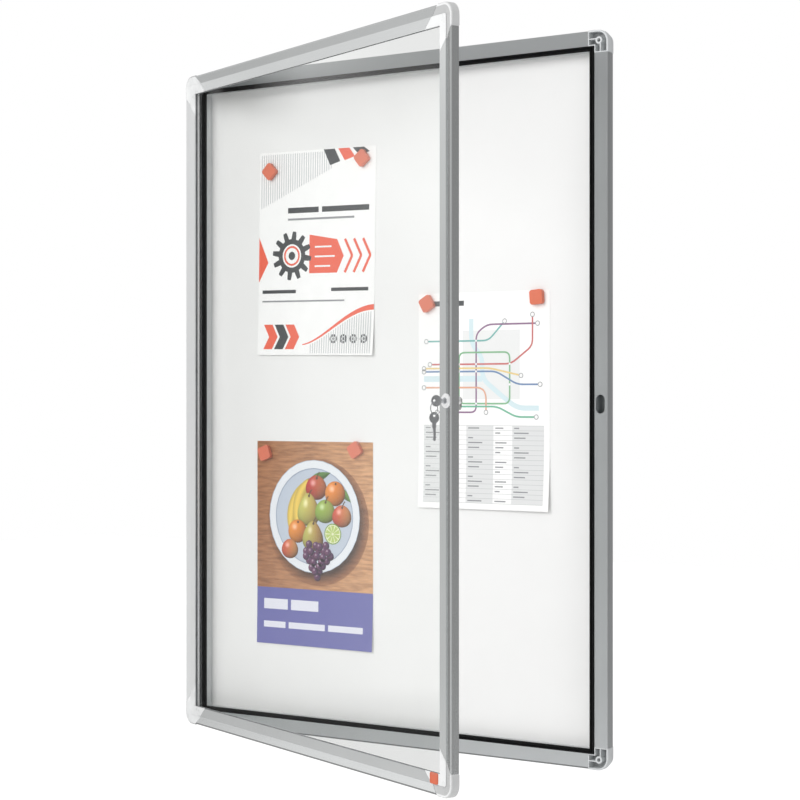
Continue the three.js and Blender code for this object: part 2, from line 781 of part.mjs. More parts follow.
function addLockPlug(parent) {
  const plug = turned([
    [0, barrelEnd],
    [lockPlugRadius, barrelEnd],
    [lockPlugRadius, plugFront],
    [0, plugFront],
  ]);
  const keyTip = flangeFront + keyBowStandOff - keyBladeLength;
  const keywayHalf = keyBladeWidth / 2 + keywayClearance;
  const keyway = block(
    new THREE.Vector3(-keywayWidth / 2, -keywayHalf, keyTip - keywaySpare),
    new THREE.Vector3(keywayWidth / 2, keywayHalf, plugFront + overrun),
  );
  const half = camTang / 2;
  const tangTop = barrelEnd + overrun;
  const tang = block(new THREE.Vector3(-half, -half, camBottom), new THREE.Vector3(half, half, tangTop));
  const screwGap = camScrewShankRadius + lockPlugGap;
  const screwTop = camBottom + camScrewShankLength + camGap;
  const tapped = bar(screwGap, 0, 0, camBottom - overrun, screwTop);
  const turning = toSolid(plug).add(toSolid(tang)).subtract(toSolid(keyway)).subtract(toSolid(tapped));
  makePiece("lock_plug", toGeometry(turning), "chrome", parent);
}

// The cam: a round hub with a square hole, and an arm that hangs down while the lock is open
function addCam(parent) {
  const half = camArmWidth / 2;
  const tipRadius = half;
  const tip = camReach - tipRadius;
  const lean = Math.asin(half / camHubRadius);
  const path = new THREE.Path();
  path.absarc(0, 0, camHubRadius, lean - Math.PI / 2, 1.5 * Math.PI - lean, false);
  path.absarc(0, -tip, tipRadius, Math.PI, 2 * Math.PI, false);
  const socket = camTang / 2 + lockBarrelGap;
  const square = [[socket, socket], [-socket, socket], [-socket, -socket], [socket, -socket]];
  const hole = square.map(([x, y]) => new THREE.Vector2(x, y));
  makePiece("lock_cam", plate(path.getPoints(arcSteps * 2), camBottom, camTop, [hole]), "zinc", parent);
  const headTop = camBottom - bondGap;
  const screw = turned([
    [0, headTop - camScrewHeadThickness],
    [camScrewHeadRadius - camGap, headTop - camScrewHeadThickness],
    [camScrewHeadRadius, headTop - camScrewHeadThickness / 2],
    [camScrewHeadRadius, headTop],
    [camScrewShankRadius, headTop],
    [camScrewShankRadius, headTop + camScrewShankLength],
    [0, headTop + camScrewShankLength],
  ]);
  const slotEnd = camScrewHeadRadius + overrun;
  const slot = block(
    new THREE.Vector3(-slotEnd, -camGap * 2, headTop - camScrewHeadThickness - overrun),
    new THREE.Vector3(slotEnd, camGap * 2, headTop - camScrewHeadThickness / 2),
  );
  makePiece("cam_screw", toGeometry(toSolid(screw).subtract(toSolid(slot))), "zinc", parent);
}

// Tooth heights along the blade's lower edge, as shares of the deepest cut
const toothShares = [0, 0.55, 0.3, 1, 0.45, 0.8, 0.25, 0.6, 0];

// A key drawn flat, its bow centred on the origin and its blade along -x
function keyGeometry() {
  const shoulder = keyShoulderWidth / 2;
  const blade = keyBladeWidth / 2;
  const bowEdge = Math.sqrt(keyBowRadius * keyBowRadius - shoulder * shoulder);
  const shoulderEnd = -keyBowRadius - keyShoulderLength + keyBowFlat;
  const tip = -keyBowRadius - keyBladeLength;
  const spread = Math.asin(shoulder / keyBowRadius);
  const path = new THREE.Path();
  path.moveTo(shoulderEnd, -shoulder);
  path.lineTo(-bowEdge, -shoulder);
  path.absarc(0, 0, keyBowRadius, Math.PI + spread, 3 * Math.PI - spread, false);
  path.lineTo(shoulderEnd, shoulder);
  path.lineTo(shoulderEnd, blade);
  path.lineTo(tip + blade / 2, blade);
  path.lineTo(tip, blade / 2);
  const toothRun = shoulderEnd - tip - blade;
  toothShares.forEach((share, step) => {
    const along = tip + blade / 2 + (step / (toothShares.length - 1)) * toothRun;
    path.lineTo(along, -blade + share * keyToothDepth);
  });
  path.lineTo(shoulderEnd, -blade);
  const hole = circlePoints(keyHoleRadius, keyHoleOffset, 0, roundSegments / 2);
  const geometry = plate(path.getPoints(arcSteps * 2), -keyThickness / 2, keyThickness / 2, [hole]);
  return geometry;
}

const bowPlace = flangeFront + keyBowStandOff + keyBowRadius;
const holePlace = bowPlace + keyHoleOffset;

function addKeys(parent) {
  const key = makePiece("key", keyGeometry(), "keySteel", parent);
  key.rotation.y = -Math.PI / 2;
  key.position.z = bowPlace;
  const ring = new THREE.TorusGeometry(ringRadius, ringWireRadius, ringSides, ringSegments);
  const ringTop = -ringHang;
  makePiece("key_ring", ring, "keySteel", parent).position.set(0, ringTop - ringRadius, holePlace);
  const spareHole = ringTop - 2 * ringRadius - ringHang;
  const spare = makePiece("spare_key", keyGeometry(), "keySteel", parent);
  spare.rotation.set(0, -Math.PI / 2, Math.PI / 2, "YXZ");
  spare.position.set(0, spareHole - keyHoleOffset, holePlace);
}

function buildDoor() {
  const hinge = new THREE.Group();
  hinge.position.set(-boardWidth / 2 + hingeInset, 0, hingeLevel);
  hinge.rotation.y = -doorOpening;
  const door = new THREE.Group();
  door.position.set(boardWidth / 2 - hingeInset, 0, boardDepth + doorGap - hingeLevel);
  hinge.add(door);
  addDoorFrame(door);
  addDoorCaps(door);
  addGlazing(door);
  const lock = new THREE.Group();
  lock.position.set(doorWidth / 2 - lockInset, lockHeight, 0);
  door.add(lock);
  addLockBody(lock);
  addLockPlug(lock);
  addCam(lock);
  addKeys(lock);
  return hinge;
}

const group = new THREE.Group();
group.rotation.x = Math.PI / 2;
addCarcassRails(group);
addCarcassCorners(group);
addSeals(group);
addPanels(group);
addNotices(group);
group.add(buildDoor());

export default group;
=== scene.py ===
# Looks for the lockable notice board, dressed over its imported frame. All lengths are metres.
import math

import bpy
import numpy as np
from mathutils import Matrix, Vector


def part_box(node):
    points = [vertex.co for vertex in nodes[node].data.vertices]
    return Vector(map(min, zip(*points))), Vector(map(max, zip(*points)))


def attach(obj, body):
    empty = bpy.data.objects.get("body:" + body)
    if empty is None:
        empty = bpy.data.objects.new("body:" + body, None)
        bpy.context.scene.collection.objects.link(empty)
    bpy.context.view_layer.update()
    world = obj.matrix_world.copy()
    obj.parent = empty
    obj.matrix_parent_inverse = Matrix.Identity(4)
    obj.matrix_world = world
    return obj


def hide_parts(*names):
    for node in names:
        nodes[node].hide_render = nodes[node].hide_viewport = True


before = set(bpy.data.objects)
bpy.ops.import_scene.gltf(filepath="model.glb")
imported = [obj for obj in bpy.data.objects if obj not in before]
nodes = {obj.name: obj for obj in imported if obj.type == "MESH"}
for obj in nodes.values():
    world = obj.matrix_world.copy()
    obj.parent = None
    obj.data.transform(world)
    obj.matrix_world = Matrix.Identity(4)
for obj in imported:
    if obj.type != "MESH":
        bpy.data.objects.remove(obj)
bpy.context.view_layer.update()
scene = bpy.context.scene
print("frame loaded with", len(nodes), "nodes")

doorTurn = -math.radians(22.2)  # the open door's turn about Z in the frame at rest
doorAcross = np.array([math.cos(doorTurn), math.sin(doorTurn), 0.0])
doorOutward = np.array([math.sin(doorTurn), -math.cos(doorTurn), 0.0])
upward = np.array([0.0, 0.0, 1.0])


def inDoor(name):
    # A node's lowest and highest values across the door, out from it and upwards
    mesh = nodes[name].data
    places = np.zeros(len(mesh.vertices) * 3, np.float32)
    mesh.vertices.foreach_get("co", places)
    values = places.reshape(-1, 3) @ np.stack([doorAcross, doorOutward, upward], axis=1)
    return values.min(axis=0).tolist(), values.max(axis=0).tolist()


cameraSettings = {
    "place": (1.6288, -2.3161, 0.0),
    "turnDegrees": 34.71,
    "lens": 90.35,
    "sensor": 36.0,
    "shiftAcross": -0.0105,
    "near": 0.05,
    "far": 60.0,
}


def makeCamera(settings):
    data = bpy.data.cameras.new("boardCamera")
    data.lens = settings["lens"]
    data.sensor_width = settings["sensor"]
    data.shift_x = settings["shiftAcross"]
    data.clip_start = settings["near"]
    data.clip_end = settings["far"]
    camera = bpy.data.objects.new("boardCamera", data)
    camera.location = settings["place"]
    camera.rotation_euler = (math.pi / 2, 0.0, math.radians(settings["turnDegrees"]))
    scene.collection.objects.link(camera)
    scene.camera = camera


makeCamera(cameraSettings)
print("camera placed")


def gridFaces(rows, columns, closed=False):
    # Quads between neighbours of a grid whose points are numbered row by row; where it is closed, the last
    # column joins the first
    i, j = np.meshgrid(np.arange(rows - 1), np.arange(columns if closed else columns - 1), indexing="ij")
    here, beside = i * columns + j, i * columns + (j + 1) % columns
    return np.stack([here, beside, beside + columns, here + columns], axis=-1).reshape(-1, 4)


def tubeFaces(rings, sides):
    # A closed grid with one polygon across each end
    faces = gridFaces(rings, sides, closed=True).tolist()
    faces.append(list(range(sides))[::-1])
    faces.append([(rings - 1) * sides + k for k in range(sides)])
    return faces


def makeMesh(name, points, faces, finish):
    mesh = bpy.data.meshes.new(name)
    mesh.from_pydata(np.asarray(points).reshape(-1, 3).tolist(), [], [list(f) for f in faces])
    mesh.materials.append(finish)
    thing = bpy.data.objects.new(name, mesh)
    scene.collection.objects.link(thing)
    return thing


def makePiece(name, points, faces, finish, body, smooth=True):
    piece = makeMesh(name, points, faces, finish)
    piece.data.polygons.foreach_set("use_smooth", np.full(len(piece.data.polygons), smooth))
    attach(piece, body)
    return piece


def addAttribute(mesh, name, kind, values):
    # One number or one colour for each point
    attribute = mesh.attributes.new(name, kind, "POINT")
    field = "color" if kind == "FLOAT_COLOR" else "value"
    attribute.data.foreach_set(field, np.asarray(values, np.float32).ravel())


def onDoor(across, height, outward):
    # Distances across the door, upwards and out from it become points of the frame
    return across[..., None] * doorAcross + height[..., None] * upward + outward[..., None] * doorOutward


def linear(colour):
    # Display values from 0 to 255 as linear light
    share = np.asarray(colour, float) / 255.0
    return np.where(share <= 0.04045, share / 12.92, ((share + 0.055) / 1.055) ** 2.4)


def startFinish(name, **sockets):
    finish = bpy.data.materials.new(name)
    finish.use_nodes = True
    shader = finish.node_tree.nodes["Principled BSDF"]
    for socket, value in sockets.items():
        shader.inputs[socket.replace("_", " ")].default_value = value
    return finish, finish.node_tree, shader


def addNode(tree, kind, inputs=(), **settings):
    # A node with its settings, and with inputs that are plain values or other nodes' outputs
    node = tree.nodes.new(kind)
    for name, value in settings.items():
        setattr(node, name, value)
    for name, value in dict(inputs).items():
        if isinstance(value, bpy.types.NodeSocket):
            tree.links.new(value, node.inputs[name])
        else:
            node.inputs[name].default_value = value
    return node


def calculate(tree, operation, *values):
    return addNode(tree, "ShaderNodeMath", enumerate(values), operation=operation).outputs["Value"]


def measured(tree, axis, kind="Object"):
    # One axis of the place on the object, or of another texture coordinate
    place = addNode(tree, "ShaderNodeTexCoord").outputs[kind]
    return addNode(tree, "ShaderNodeSeparateXYZ", {"Vector": place}).outputs[axis]


def turnedPlace(tree, kind, turn, stretch=(1.0, 1.0, 1.0)):
    # Object coordinates through a Mapping node that turns them about Z
    place = addNode(tree, "ShaderNodeTexCoord").outputs["Object"]
    inputs = {"Vector": place, "Rotation": (0.0, 0.0, turn), "Scale": stretch}
    return addNode(tree, "ShaderNodeMapping", inputs, vector_type=kind).outputs["Vector"]


def addNoise(tree, scale, stretch=(1.0, 1.0, 1.0), turn=0.0, detail=3.0):
    # Noise in object coordinates, turned about Z and drawn out by the stretch
    inputs = {"Vector": turnedPlace(tree, "TEXTURE", turn, stretch), "Scale": scale, "Detail": detail}
    return addNode(tree, "ShaderNodeTexNoise", inputs).outputs["Fac"]


def spread(tree, value, low, high, start=0.3, end=0.7):
    # A value between start and end becomes one between low and high
    inputs = {"Value": value, "From Min": start, "From Max": end, "To Min": low, "To Max": high}
    return addNode(tree, "ShaderNodeMapRange", inputs).outputs["Result"]


def blendColours(tree, value, dark, pale, start=0.3, end=0.7):
    ramp = addNode(tree, "ShaderNodeValToRGB", {"Fac": value})
    for element, place, colour in zip(ramp.color_ramp.elements, (start, end), (dark, pale)):
        element.position = place
        element.color = (*colour, 1.0)
    return ramp.outputs["Color"]


def addBump(tree, shader, height, strength, distance):
    # Over the bump that the shader may have already
    inputs = {"Height": height, "Strength": strength, "Distance": distance}
    for link in shader.inputs["Normal"].links:
        inputs["Normal"] = link.from_socket
    bump = addNode(tree, "ShaderNodeBump", inputs)
    tree.links.new(bump.outputs["Normal"], shader.inputs["Normal"])


def toned(colour, share):
    return tuple(float(v) for v in np.clip(linear(colour) * share, 0.0, 1.0))


def addColour(tree, shader, value, colour, dark, pale, start=0.3, end=0.7):
    # Base colour between two shares of one colour
    blended = blendColours(tree, value, toned(colour, dark), toned(colour, pale), start, end)
    tree.links.new(blended, shader.inputs["Base Color"])


def addRoughness(tree, shader, value, middle, below, above):
    tree.links.new(spread(tree, value, middle - below, middle + above), shader.inputs["Roughness"])


def shaderOf(finish):
    return finish.node_tree, finish.node_tree.nodes["Principled BSDF"]


def darken(tree, shader, where, tone):
    # Multiplies the base colour by the tone, grey or coloured, where the given share is one
    before = shader.inputs["Base Color"].links[0].from_socket
    inputs = {"Factor": where, "A": before, "B": (*np.broadcast_to(tone, 3).tolist(), 1.0)}
    shade = addNode(tree, "ShaderNodeMix", inputs, data_type="RGBA", blend_type="MULTIPLY")
    tree.links.new(shade.outputs["Result"], shader.inputs["Base Color"])


carcassMetal = {"colour": (215, 218, 219), "roughness": 0.34, "streak": 0.04, "cloud": 0.025, "bump": 0.06}
doorMetal = {"colour": (231, 233, 233), "roughness": 0.20, "streak": 0.03, "cloud": 0.02, "bump": 0.05}
# The hinge stile's aluminium is a paler copy of the door's, painted light, with a rougher and less metallic
# gloss
hingeSidePaintedLightMetal = {**doorMetal, "colour": (247, 248, 248), "roughness": 0.54, "streak": 0.04, "metallic": 0.78}
drawnLines = {"scale": 900.0, "detail": 2.0, "depth": 0.00008}
anodisingClouds = {"scale": 9.0, "detail": 4.0}
alongX, alongZ = (60.0, 1.0, 1.0), (1.0, 1.0, 60.0)


def anodised(name, settings, stretch, turn):
    # Drawn-out noise gives the extrusion's faint lines, and wide noise its uneven anodising
    finish, tree, shader = startFinish(name, Metallic=settings.get("metallic", 1.0))
    lines = addNoise(tree, drawnLines["scale"], stretch, turn, drawnLines["detail"])
    clouds = addNoise(tree, anodisingClouds["scale"], turn=turn, detail=anodisingClouds["detail"])
    cloud, streak = settings["cloud"], settings["streak"]
    addColour(tree, shader, clouds, settings["colour"], 1 - cloud, 1 + cloud)
    addRoughness(tree, shader, lines, settings["roughness"], streak, streak)
    addBump(tree, shader, lines, settings["bump"], drawnLines["depth"])
    return finish


def addPaintedLowerShade(finish, level, settings):
    # Painted shade: a thin darker line in the colour under the given height, where the rounded lower edge
    # meets its shade
    tree, shader = shaderOf(finish)
    top, fade = level + settings["height"], settings["fade"]
    under = spread(tree, measured(tree, "Z"), 1.0, 0.0, top - fade, top + fade)
    darken(tree, shader, under, settings["tone"])


def addTurnedSlope(finish, low, high, degrees):
    # Shading of a strip between two heights whose face is turned a little further down
    tree, shader = shaderOf(finish)
    rise = (high - low) * math.tan(math.radians(degrees))
    addBump(tree, shader, spread(tree, measured(tree, "Z"), 0.0, 1.0, low, high), 1.0, rise)


carcassAcross = anodised("carcassAluminiumAcross", carcassMetal, alongX, 0.0)
carcassUpright = anodised("carcassAluminiumUpright", carcassMetal, alongZ, 0.0)
doorRunAcross = anodised("doorAluminiumAcross", doorMetal, alongX, doorTurn)
doorUpright = anodised("doorAluminiumUpright", doorMetal, alongZ, doorTurn)
hingeUprightPaintedLight = anodised("hingeSideAluminiumPaintedLight", hingeSidePaintedLightMetal, alongZ, doorTurn)
# The bottom rails' copies of the aluminium carry a line of painted shade along their rounded lower edge
carcassLowPaintedShade = anodised("carcassAluminiumLowPaintedShade", carcassMetal, alongX, 0.0)
doorLowPaintedShade = anodised("doorAluminiumLowPaintedShade", doorMetal, alongX, doorTurn)

paintedLowerShadeSettings = {
    "carcass": {"height": 0.0022, "fade": 0.0004, "tone": 0.35},
    "door": {"height": 0.0026, "fade": 0.0004, "tone": 0.25},
}
slopeSettings = {"width": 0.0122, "degrees": 20.0}
doorLevel = inDoor("door_bottom_rail")[0][2]
addTurnedSlope(doorLowPaintedShade, doorLevel, doorLevel + slopeSettings["width"], slopeSettings["degrees"])
addPaintedLowerShade(doorLowPaintedShade, doorLevel, paintedLowerShadeSettings["door"])
addPaintedLowerShade(carcassLowPaintedShade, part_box("carcass_bottom_rail")[0].z, paintedLowerShadeSettings["carcass"])


plasticSettings = {
    "corner": {"colour": (214, 217, 218), "roughness": 0.42, "grain": 1400.0, "bump": 0.12},
    "cap": {"colour": (235, 236, 236), "roughness": 0.3, "grain": 1100.0, "bump": 0.06},
    # The hinge side's caps: a greyer copy of the caps' plastic, painted shade, with stronger random mottling
    "hingeCap": {"colour": (227, 228, 228), "roughness": 0.3, "grain": 1100.0, "bump": 0.06, "dark": 0.84},
    "magnet": {"colour": (223, 120, 92), "roughness": 0.33, "grain": 1500.0, "bump": 0.08},
    "badge": {"colour": (214, 104, 72), "roughness": 0.28, "grain": 1500.0, "bump": 0.05},
}
rubberSettings = {
    "seal": {"colour": (11, 12, 13), "roughness": 0.62, "grain": 1800.0},
    "gasket": {"colour": (104, 106, 108), "roughness": 0.55, "grain": 2200.0},
}
panelSettings = {"colour": (244, 244, 243), "roughness": 0.34, "peel": 420.0, "bump": 0.05}
boardSettings = {"colour": (150, 151, 149), "roughness": 0.6, "speckle": 950.0}
flowScale, bloomScale, rubbingScale, sweepScale = 45.0, 30.0, 14.0, 6.0  # wide noises, in waves per metre
grainDepth, peelDepth = 0.0001, 0.0002


def mouldedPlastic(name, settings):
    # Fine spark-eroded grain, with a little flow mottling in the colour
    finish, tree, shader = startFinish(name, Coat_Weight=0.15, Coat_Roughness=0.2)
    grain = addNoise(tree, settings["grain"])
    flow = addNoise(tree, flowScale, detail=5.0)
    addColour(tree, shader, flow, settings["colour"], settings.get("dark", 0.96), 1.02)
    addRoughness(tree, shader, flow, settings["roughness"], 0.05, 0.06)
    addBump(tree, shader, grain, settings["bump"], grainDepth)
    return finish


# Painted shade: the free side's caps have a sloping band painted darker in the colour, and every cap a darker
# painted outline
paintedCapBandShade = {"outer": 0.0036, "inner": 0.0137, "fade": 0.0003, "tone": 0.63}
paintedCapRimShade = {"outer": -0.002, "inner": 0.0014, "fade": 0.0003, "tone": 0.84}
paintedHingeCapRimShade = {"outer": -0.002, "inner": 0.0018, "fade": 0.0004, "tone": 0.5}
capRadius = 0.0172


def addPaintedCapShade(finish, settings):
    # Painted shade in a band of the colour. Distance in from the door's rounded outline: with q how far a
    # point is beyond the corner's centre both ways, it is the corner's radius less the length of q; the band
    # lies between two such distances
    tree, shader = shaderOf(finish)
    low, high = inDoor("door_cap_bottom_left")[0], inDoor("door_cap_top_right")[1]
    place = turnedPlace(tree, "POINT", -doorTurn)
    apart = addNode(tree, "ShaderNodeSeparateXYZ", {"Vector": place}).outputs
    past = {}
    for axis, start, end in (("X", low[0], high[0]), ("Z", low[2], high[2])):
        away = calculate(tree, "ABSOLUTE", calculate(tree, "SUBTRACT", apart[axis], (start + end) / 2))
        past[axis] = calculate(tree, "SUBTRACT", away, (end - start) / 2 - capRadius)
    beyond = addNode(tree, "ShaderNodeCombineXYZ", past).outputs["Vector"]
    outside = addNode(tree, "ShaderNodeVectorMath", {0: beyond}, operation="MAXIMUM").outputs["Vector"]
    length = addNode(tree, "ShaderNodeVectorMath", {0: outside}, operation="LENGTH").outputs["Value"]
    inward = calculate(tree, "SUBTRACT", capRadius, length)
    outer, inner, fade = settings["outer"], settings["inner"], settings["fade"]
    fromRim = spread(tree, inward, 0.0, 1.0, outer - fade, outer + fade)
    toFace = spread(tree, inward, 1.0, 0.0, inner - fade, inner + fade)
    darken(tree, shader, calculate(tree, "MULTIPLY", fromRim, toFace), settings["tone"])


def extrudedRubber(name, settings):
    finish, tree, shader = startFinish(name, Specular_IOR_Level=0.2)
    grain = addNoise(tree, settings["grain"])
    bloom = addNoise(tree, bloomScale, detail=6.0)  # pale dusty bloom on old rubber
    addColour(tree, shader, bloom, settings["colour"], 0.8, 1.5)
    addRoughness(tree, shader, bloom, settings["roughness"], 0.06, 0.12)
    addBump(tree, shader, grain, 0.2, grainDepth)
    return finish


def lacqueredSteel(name, settings):
    # Stove enamel: a faint orange peel, with soft rubbing marks in the gloss
    finish, tree, shader = startFinish(name, Coat_Weight=0.2, Coat_Roughness=0.12)
    peel = addNoise(tree, settings["peel"], detail=1.0)
    rubbing = addNoise(tree, rubbingScale, turn=0.5, detail=6.0)
    addColour(tree, shader, rubbing, settings["colour"], 0.985, 1.0)
    addRoughness(tree, shader, rubbing, settings["roughness"], 0.06, 0.08)
    addBump(tree, shader, peel, settings["bump"], peelDepth)
    return finish


def laminatedBoard(name, settings):
    finish, tree, shader = startFinish(name)
    speckle = addNoise(tree, settings["speckle"], detail=5.0)
    sweep = addNoise(tree, sweepScale, (1.0, 1.0, 5.0), detail=5.0)
    addColour(tree, shader, speckle, settings["colour"], 0.8, 1.12, 0.35, 0.65)
    addRoughness(tree, shader, sweep, settings["roughness"], 0.1, 0.1)
    addBump(tree, shader, speckle, 0.25, peelDepth)
    return finish


paintedPocketShadeSettings = {"depth": 0.0012, "fade": 0.0003, "facing": (-0.8, -0.5), "tone": 0.60}


def addPaintedPocketShade(finish, settings):
    # Painted shade: the floors of the mouldings' pockets, which look forward from behind the front edge, are
    # darkened in the colour
    tree, shader = shaderOf(finish)
    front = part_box("carcass_corner_top_right")[0].y + settings["depth"]
    behind = spread(tree, measured(tree, "Y"), 0.0, 1.0, front, front + settings["fade"])
    forward = spread(tree, measured(tree, "Y", "Normal"), 1.0, 0.0, *settings["facing"])
    darken(tree, shader, calculate(tree, "MULTIPLY", behind, forward), settings["tone"])


cornerPlastic = mouldedPlastic("cornerPlastic", plasticSettings["corner"])
addPaintedPocketShade(cornerPlastic, paintedPocketShadeSettings)
capPlastic = mouldedPlastic("capPlastic", plasticSettings["cap"])
addPaintedCapShade(capPlastic, paintedCapBandShade)
addPaintedCapShade(capPlastic, paintedCapRimShade)
# The hinge side's caps take a greyer copy of the caps' plastic as painted shade, and a darker painted outline
hingeCapPaintedShadePlastic = mouldedPlastic("hingeCapPaintedShadePlastic", plasticSettings["hingeCap"])
addPaintedCapShade(hingeCapPaintedShadePlastic, paintedHingeCapRimShade)
magnetPlastic = mouldedPlastic("magnetPlastic", plasticSettings["magnet"])
badgePlastic = mouldedPlastic("badgePlastic", plasticSettings["badge"])
sealRubber = extrudedRubber("sealRubber", rubberSettings["seal"])
gasketRubber = extrudedRubber("gasketRubber", rubberSettings["gasket"])
panelEnamel = lacqueredSteel("panelEnamel", panelSettings)
backingLaminate = laminatedBoard("backingLaminate", boardSettings)


glassSettings = {"colour": (253, 254, 253), "refraction": 1.5, "wiping": 7.0}


def clearPane(name, settings):
    # Clear safety glass with a perfectly sharp gloss; faint wiping marks dull what shows through it
    optics = {"Transmission_Weight": 1.0, "IOR": settings["refraction"], "Roughness": 0.0}
    finish, tree, shader = startFinish(name, **optics)
    wiping = addNoise(tree, settings["wiping"], (1.0, 1.0, 3.0), doorTurn + 0.6, 6.0)
    addColour(tree, shader, wiping, settings["colour"], 1.0, 0.985, 0.5, 0.8)
    return finish


paneGlass = clearPane("paneGlass", glassSettings)


metalSettings = {
    "chrome": {"colour": (226, 228, 230), "roughness": 0.09, "mark": 0.05, "marks": 260.0},
    "lockFace": {"colour": (250, 251, 252), "roughness": 0.12, "mark": 0.05, "marks": 260.0},
    "zinc": {"colour": (190, 191, 188), "roughness": 0.32, "mark": 0.1, "marks": 180.0},
    "key": {"colour": (216, 218, 220), "roughness": 0.3, "mark": 0.1, "marks": 420.0},
    "ring": {"colour": (200, 202, 204), "roughness": 0.2, "mark": 0.06, "marks": 500.0},
}
metalSettings["lockFace"]["metallic"] = 0.35
blotchScale, scratchDepth = 90.0, 0.00005


def handledMetal(name, settings):
    # Plated metal whose gloss is broken by blotches and fine scratches from use
    finish, tree, shader = startFinish(name, Metallic=settings.get("metallic", 1.0))
    scratches = addNoise(tree, settings["marks"], (1.0, 1.0, 8.0), 0.7, 4.0)
    blotches = addNoise(tree, blotchScale, detail=5.0)
    addColour(tree, shader, blotches, settings["colour"], 0.86, 1.06)
    addRoughness(tree, shader, scratches, settings["roughness"], settings["mark"] / 2, settings["mark"])
    addBump(tree, shader, scratches, 0.08, scratchDepth)
    return finish


chrome = handledMetal("lockChrome", metalSettings["chrome"])
lockFace = handledMetal("lockFace", metalSettings["lockFace"])
zincPlate = handledMetal("zincPlate", metalSettings["zinc"])
keyMetal = handledMetal("keyMetal", metalSettings["key"])
ringMetal = handledMetal("ringMetal", metalSettings["ring"])


# By the start of the node's name; where two fit, the later line holds
finishOf = {
    "carcass_": carcassUpright,
    "carcass_top_rail": carcassAcross,
    "carcass_bottom_rail": carcassLowPaintedShade,
    "carcass_corner_": cornerPlastic,
    "steel_display_panel": panelEnamel,
    "backing_board": backingLaminate,
    "seal_": sealRubber,
    "door_top_rail": doorRunAcross,
    "door_bottom_rail": doorLowPaintedShade,
    "door_hinge_stile": hingeUprightPaintedLight,
    "door_lock_stile": doorUpright,
    "door_cap_": capPlastic,
    "door_cap_top_left": hingeCapPaintedShadePlastic,
    "door_cap_bottom_left": hingeCapPaintedShadePlastic,
    "glass_pane": paneGlass,
    "glazing_gasket_": gasketRubber,
    "lock_body": lockFace,
    "lock_plug": chrome,
    "lock_nut": zincPlate,
    "lock_cam": zincPlate,
    "cam_screw": zincPlate,
    "key": keyMetal,
    "spare_key": keyMetal,
    "key_ring": ringMetal,
    "magnet_": magnetPlastic,
}
for name, node in nodes.items():
    for start, finish in finishOf.items():
        if name.startswith(start):
            node.material_slots[0].material = finish
pane = nodes["glass_pane"]
pane.visible_shadow = False  # light reaches the panel through the pane without noise
pane.visible_diffuse = False
print("CAD nodes have their finishes")


# A sheet is flat where its magnets hold it and lifts a little towards its free lower corners
sheetSize = (0.210, 0.297)
sheetGrid = {"rows": 60, "columns": 43}
paperThick = 0.00022
liftStart = 0.35  # share of the way from the middle to the lower edge
sheetSettings = {
    "notice_upper_left": {"turn": -0.8, "liftLeft": 0.0022, "liftRight": 0.0042, "liftMiddle": 0.0006},
    "notice_lower_left": {"turn": 0.0, "liftLeft": 0.0014, "liftRight": 0.0030, "liftMiddle": 0.0004},
    "notice_right": {"turn": 0.0, "liftLeft": 0.0030, "liftRight": 0.0052, "liftMiddle": 0.0010},
}


def sheetPoints(name, x, y, proud):
    # Sheet coordinates turned about the sheet's centre; the lift grows with the square of the way down
    settings = sheetSettings[name]
    low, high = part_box(name)
    centreX, centreZ, front = (low.x + high.x) / 2, (low.z + high.z) / 2, low.y
    down = np.clip((-2 * y / sheetSize[1] - liftStart) / (1 - liftStart), 0.0, 1.0)
    side = 2 * x / sheetSize[0]
    lift = settings["liftLeft"] * ((1 - side) / 2) ** 2 + settings["liftRight"] * ((1 + side) / 2) ** 2
    lift = (lift + settings["liftMiddle"] * (1 - side**2)) * down**2
    turn = math.radians(settings["turn"])
    across = centreX + x * math.cos(turn) - y * math.sin(turn)
    height = centreZ + x * math.sin(turn) + y * math.cos(turn)
    return np.stack([across, front - lift - proud + 0 * x, height], axis=-1)


paperSettings = {"dark": (253, 253, 252), "pale": (255, 255, 254), "fibres": 2600.0, "cloud": 60.0}
inkSettings = {"roughness": 0.43, "grain": 260.0, "grainTone": (0.42, 0.33, 0.27), "dots": 3000.0}
inkHeights = {"lowest": 0.00004, "layer": 0.00002}


def paperFinish(name, settings):
    finish, tree, shader = startFinish(name, Roughness=0.75)
    fibres = addNoise(tree, settings["fibres"], (3.0, 1.0, 1.0), detail=4.0)
    cloud = addNoise(tree, settings["cloud"], detail=4.0)
    colour = blendColours(tree, cloud, toned(settings["dark"], 0.985), toned(settings["pale"], 1.0))
    tree.links.new(colour, shader.inputs["Base Color"])
    addBump(tree, shader, fibres, 0.1, scratchDepth)
    return finish


def inkFinish(name, settings):
    # Printed ink: the ink attribute is its colour, and the streak attribute how much wood grain shows in it
    finish, tree, shader = startFinish(name)
    ink = addNode(tree, "ShaderNodeAttribute", attribute_name="ink")
    streak = addNode(tree, "ShaderNodeAttribute", attribute_name="streak")
    tree.links.new(ink.outputs["Color"], shader.inputs["Base Color"])
    grain = spread(tree, addNoise(tree, settings["grain"], (7.0, 1.0, 1.0), detail=5.0), 0.0, 1.0, 0.35, 0.68)
    darken(tree, shader, calculate(tree, "MULTIPLY", grain, streak.outputs["Fac"]), settings["grainTone"])
    dots = addNoise(tree, settings["dots"], detail=1.0)
    addRoughness(tree, shader, dots, settings["roughness"], 0.07, 0.07)
    return finish


paper = paperFinish("printingPaper", paperSettings)
printInk = inkFinish("printInk", inkSettings)


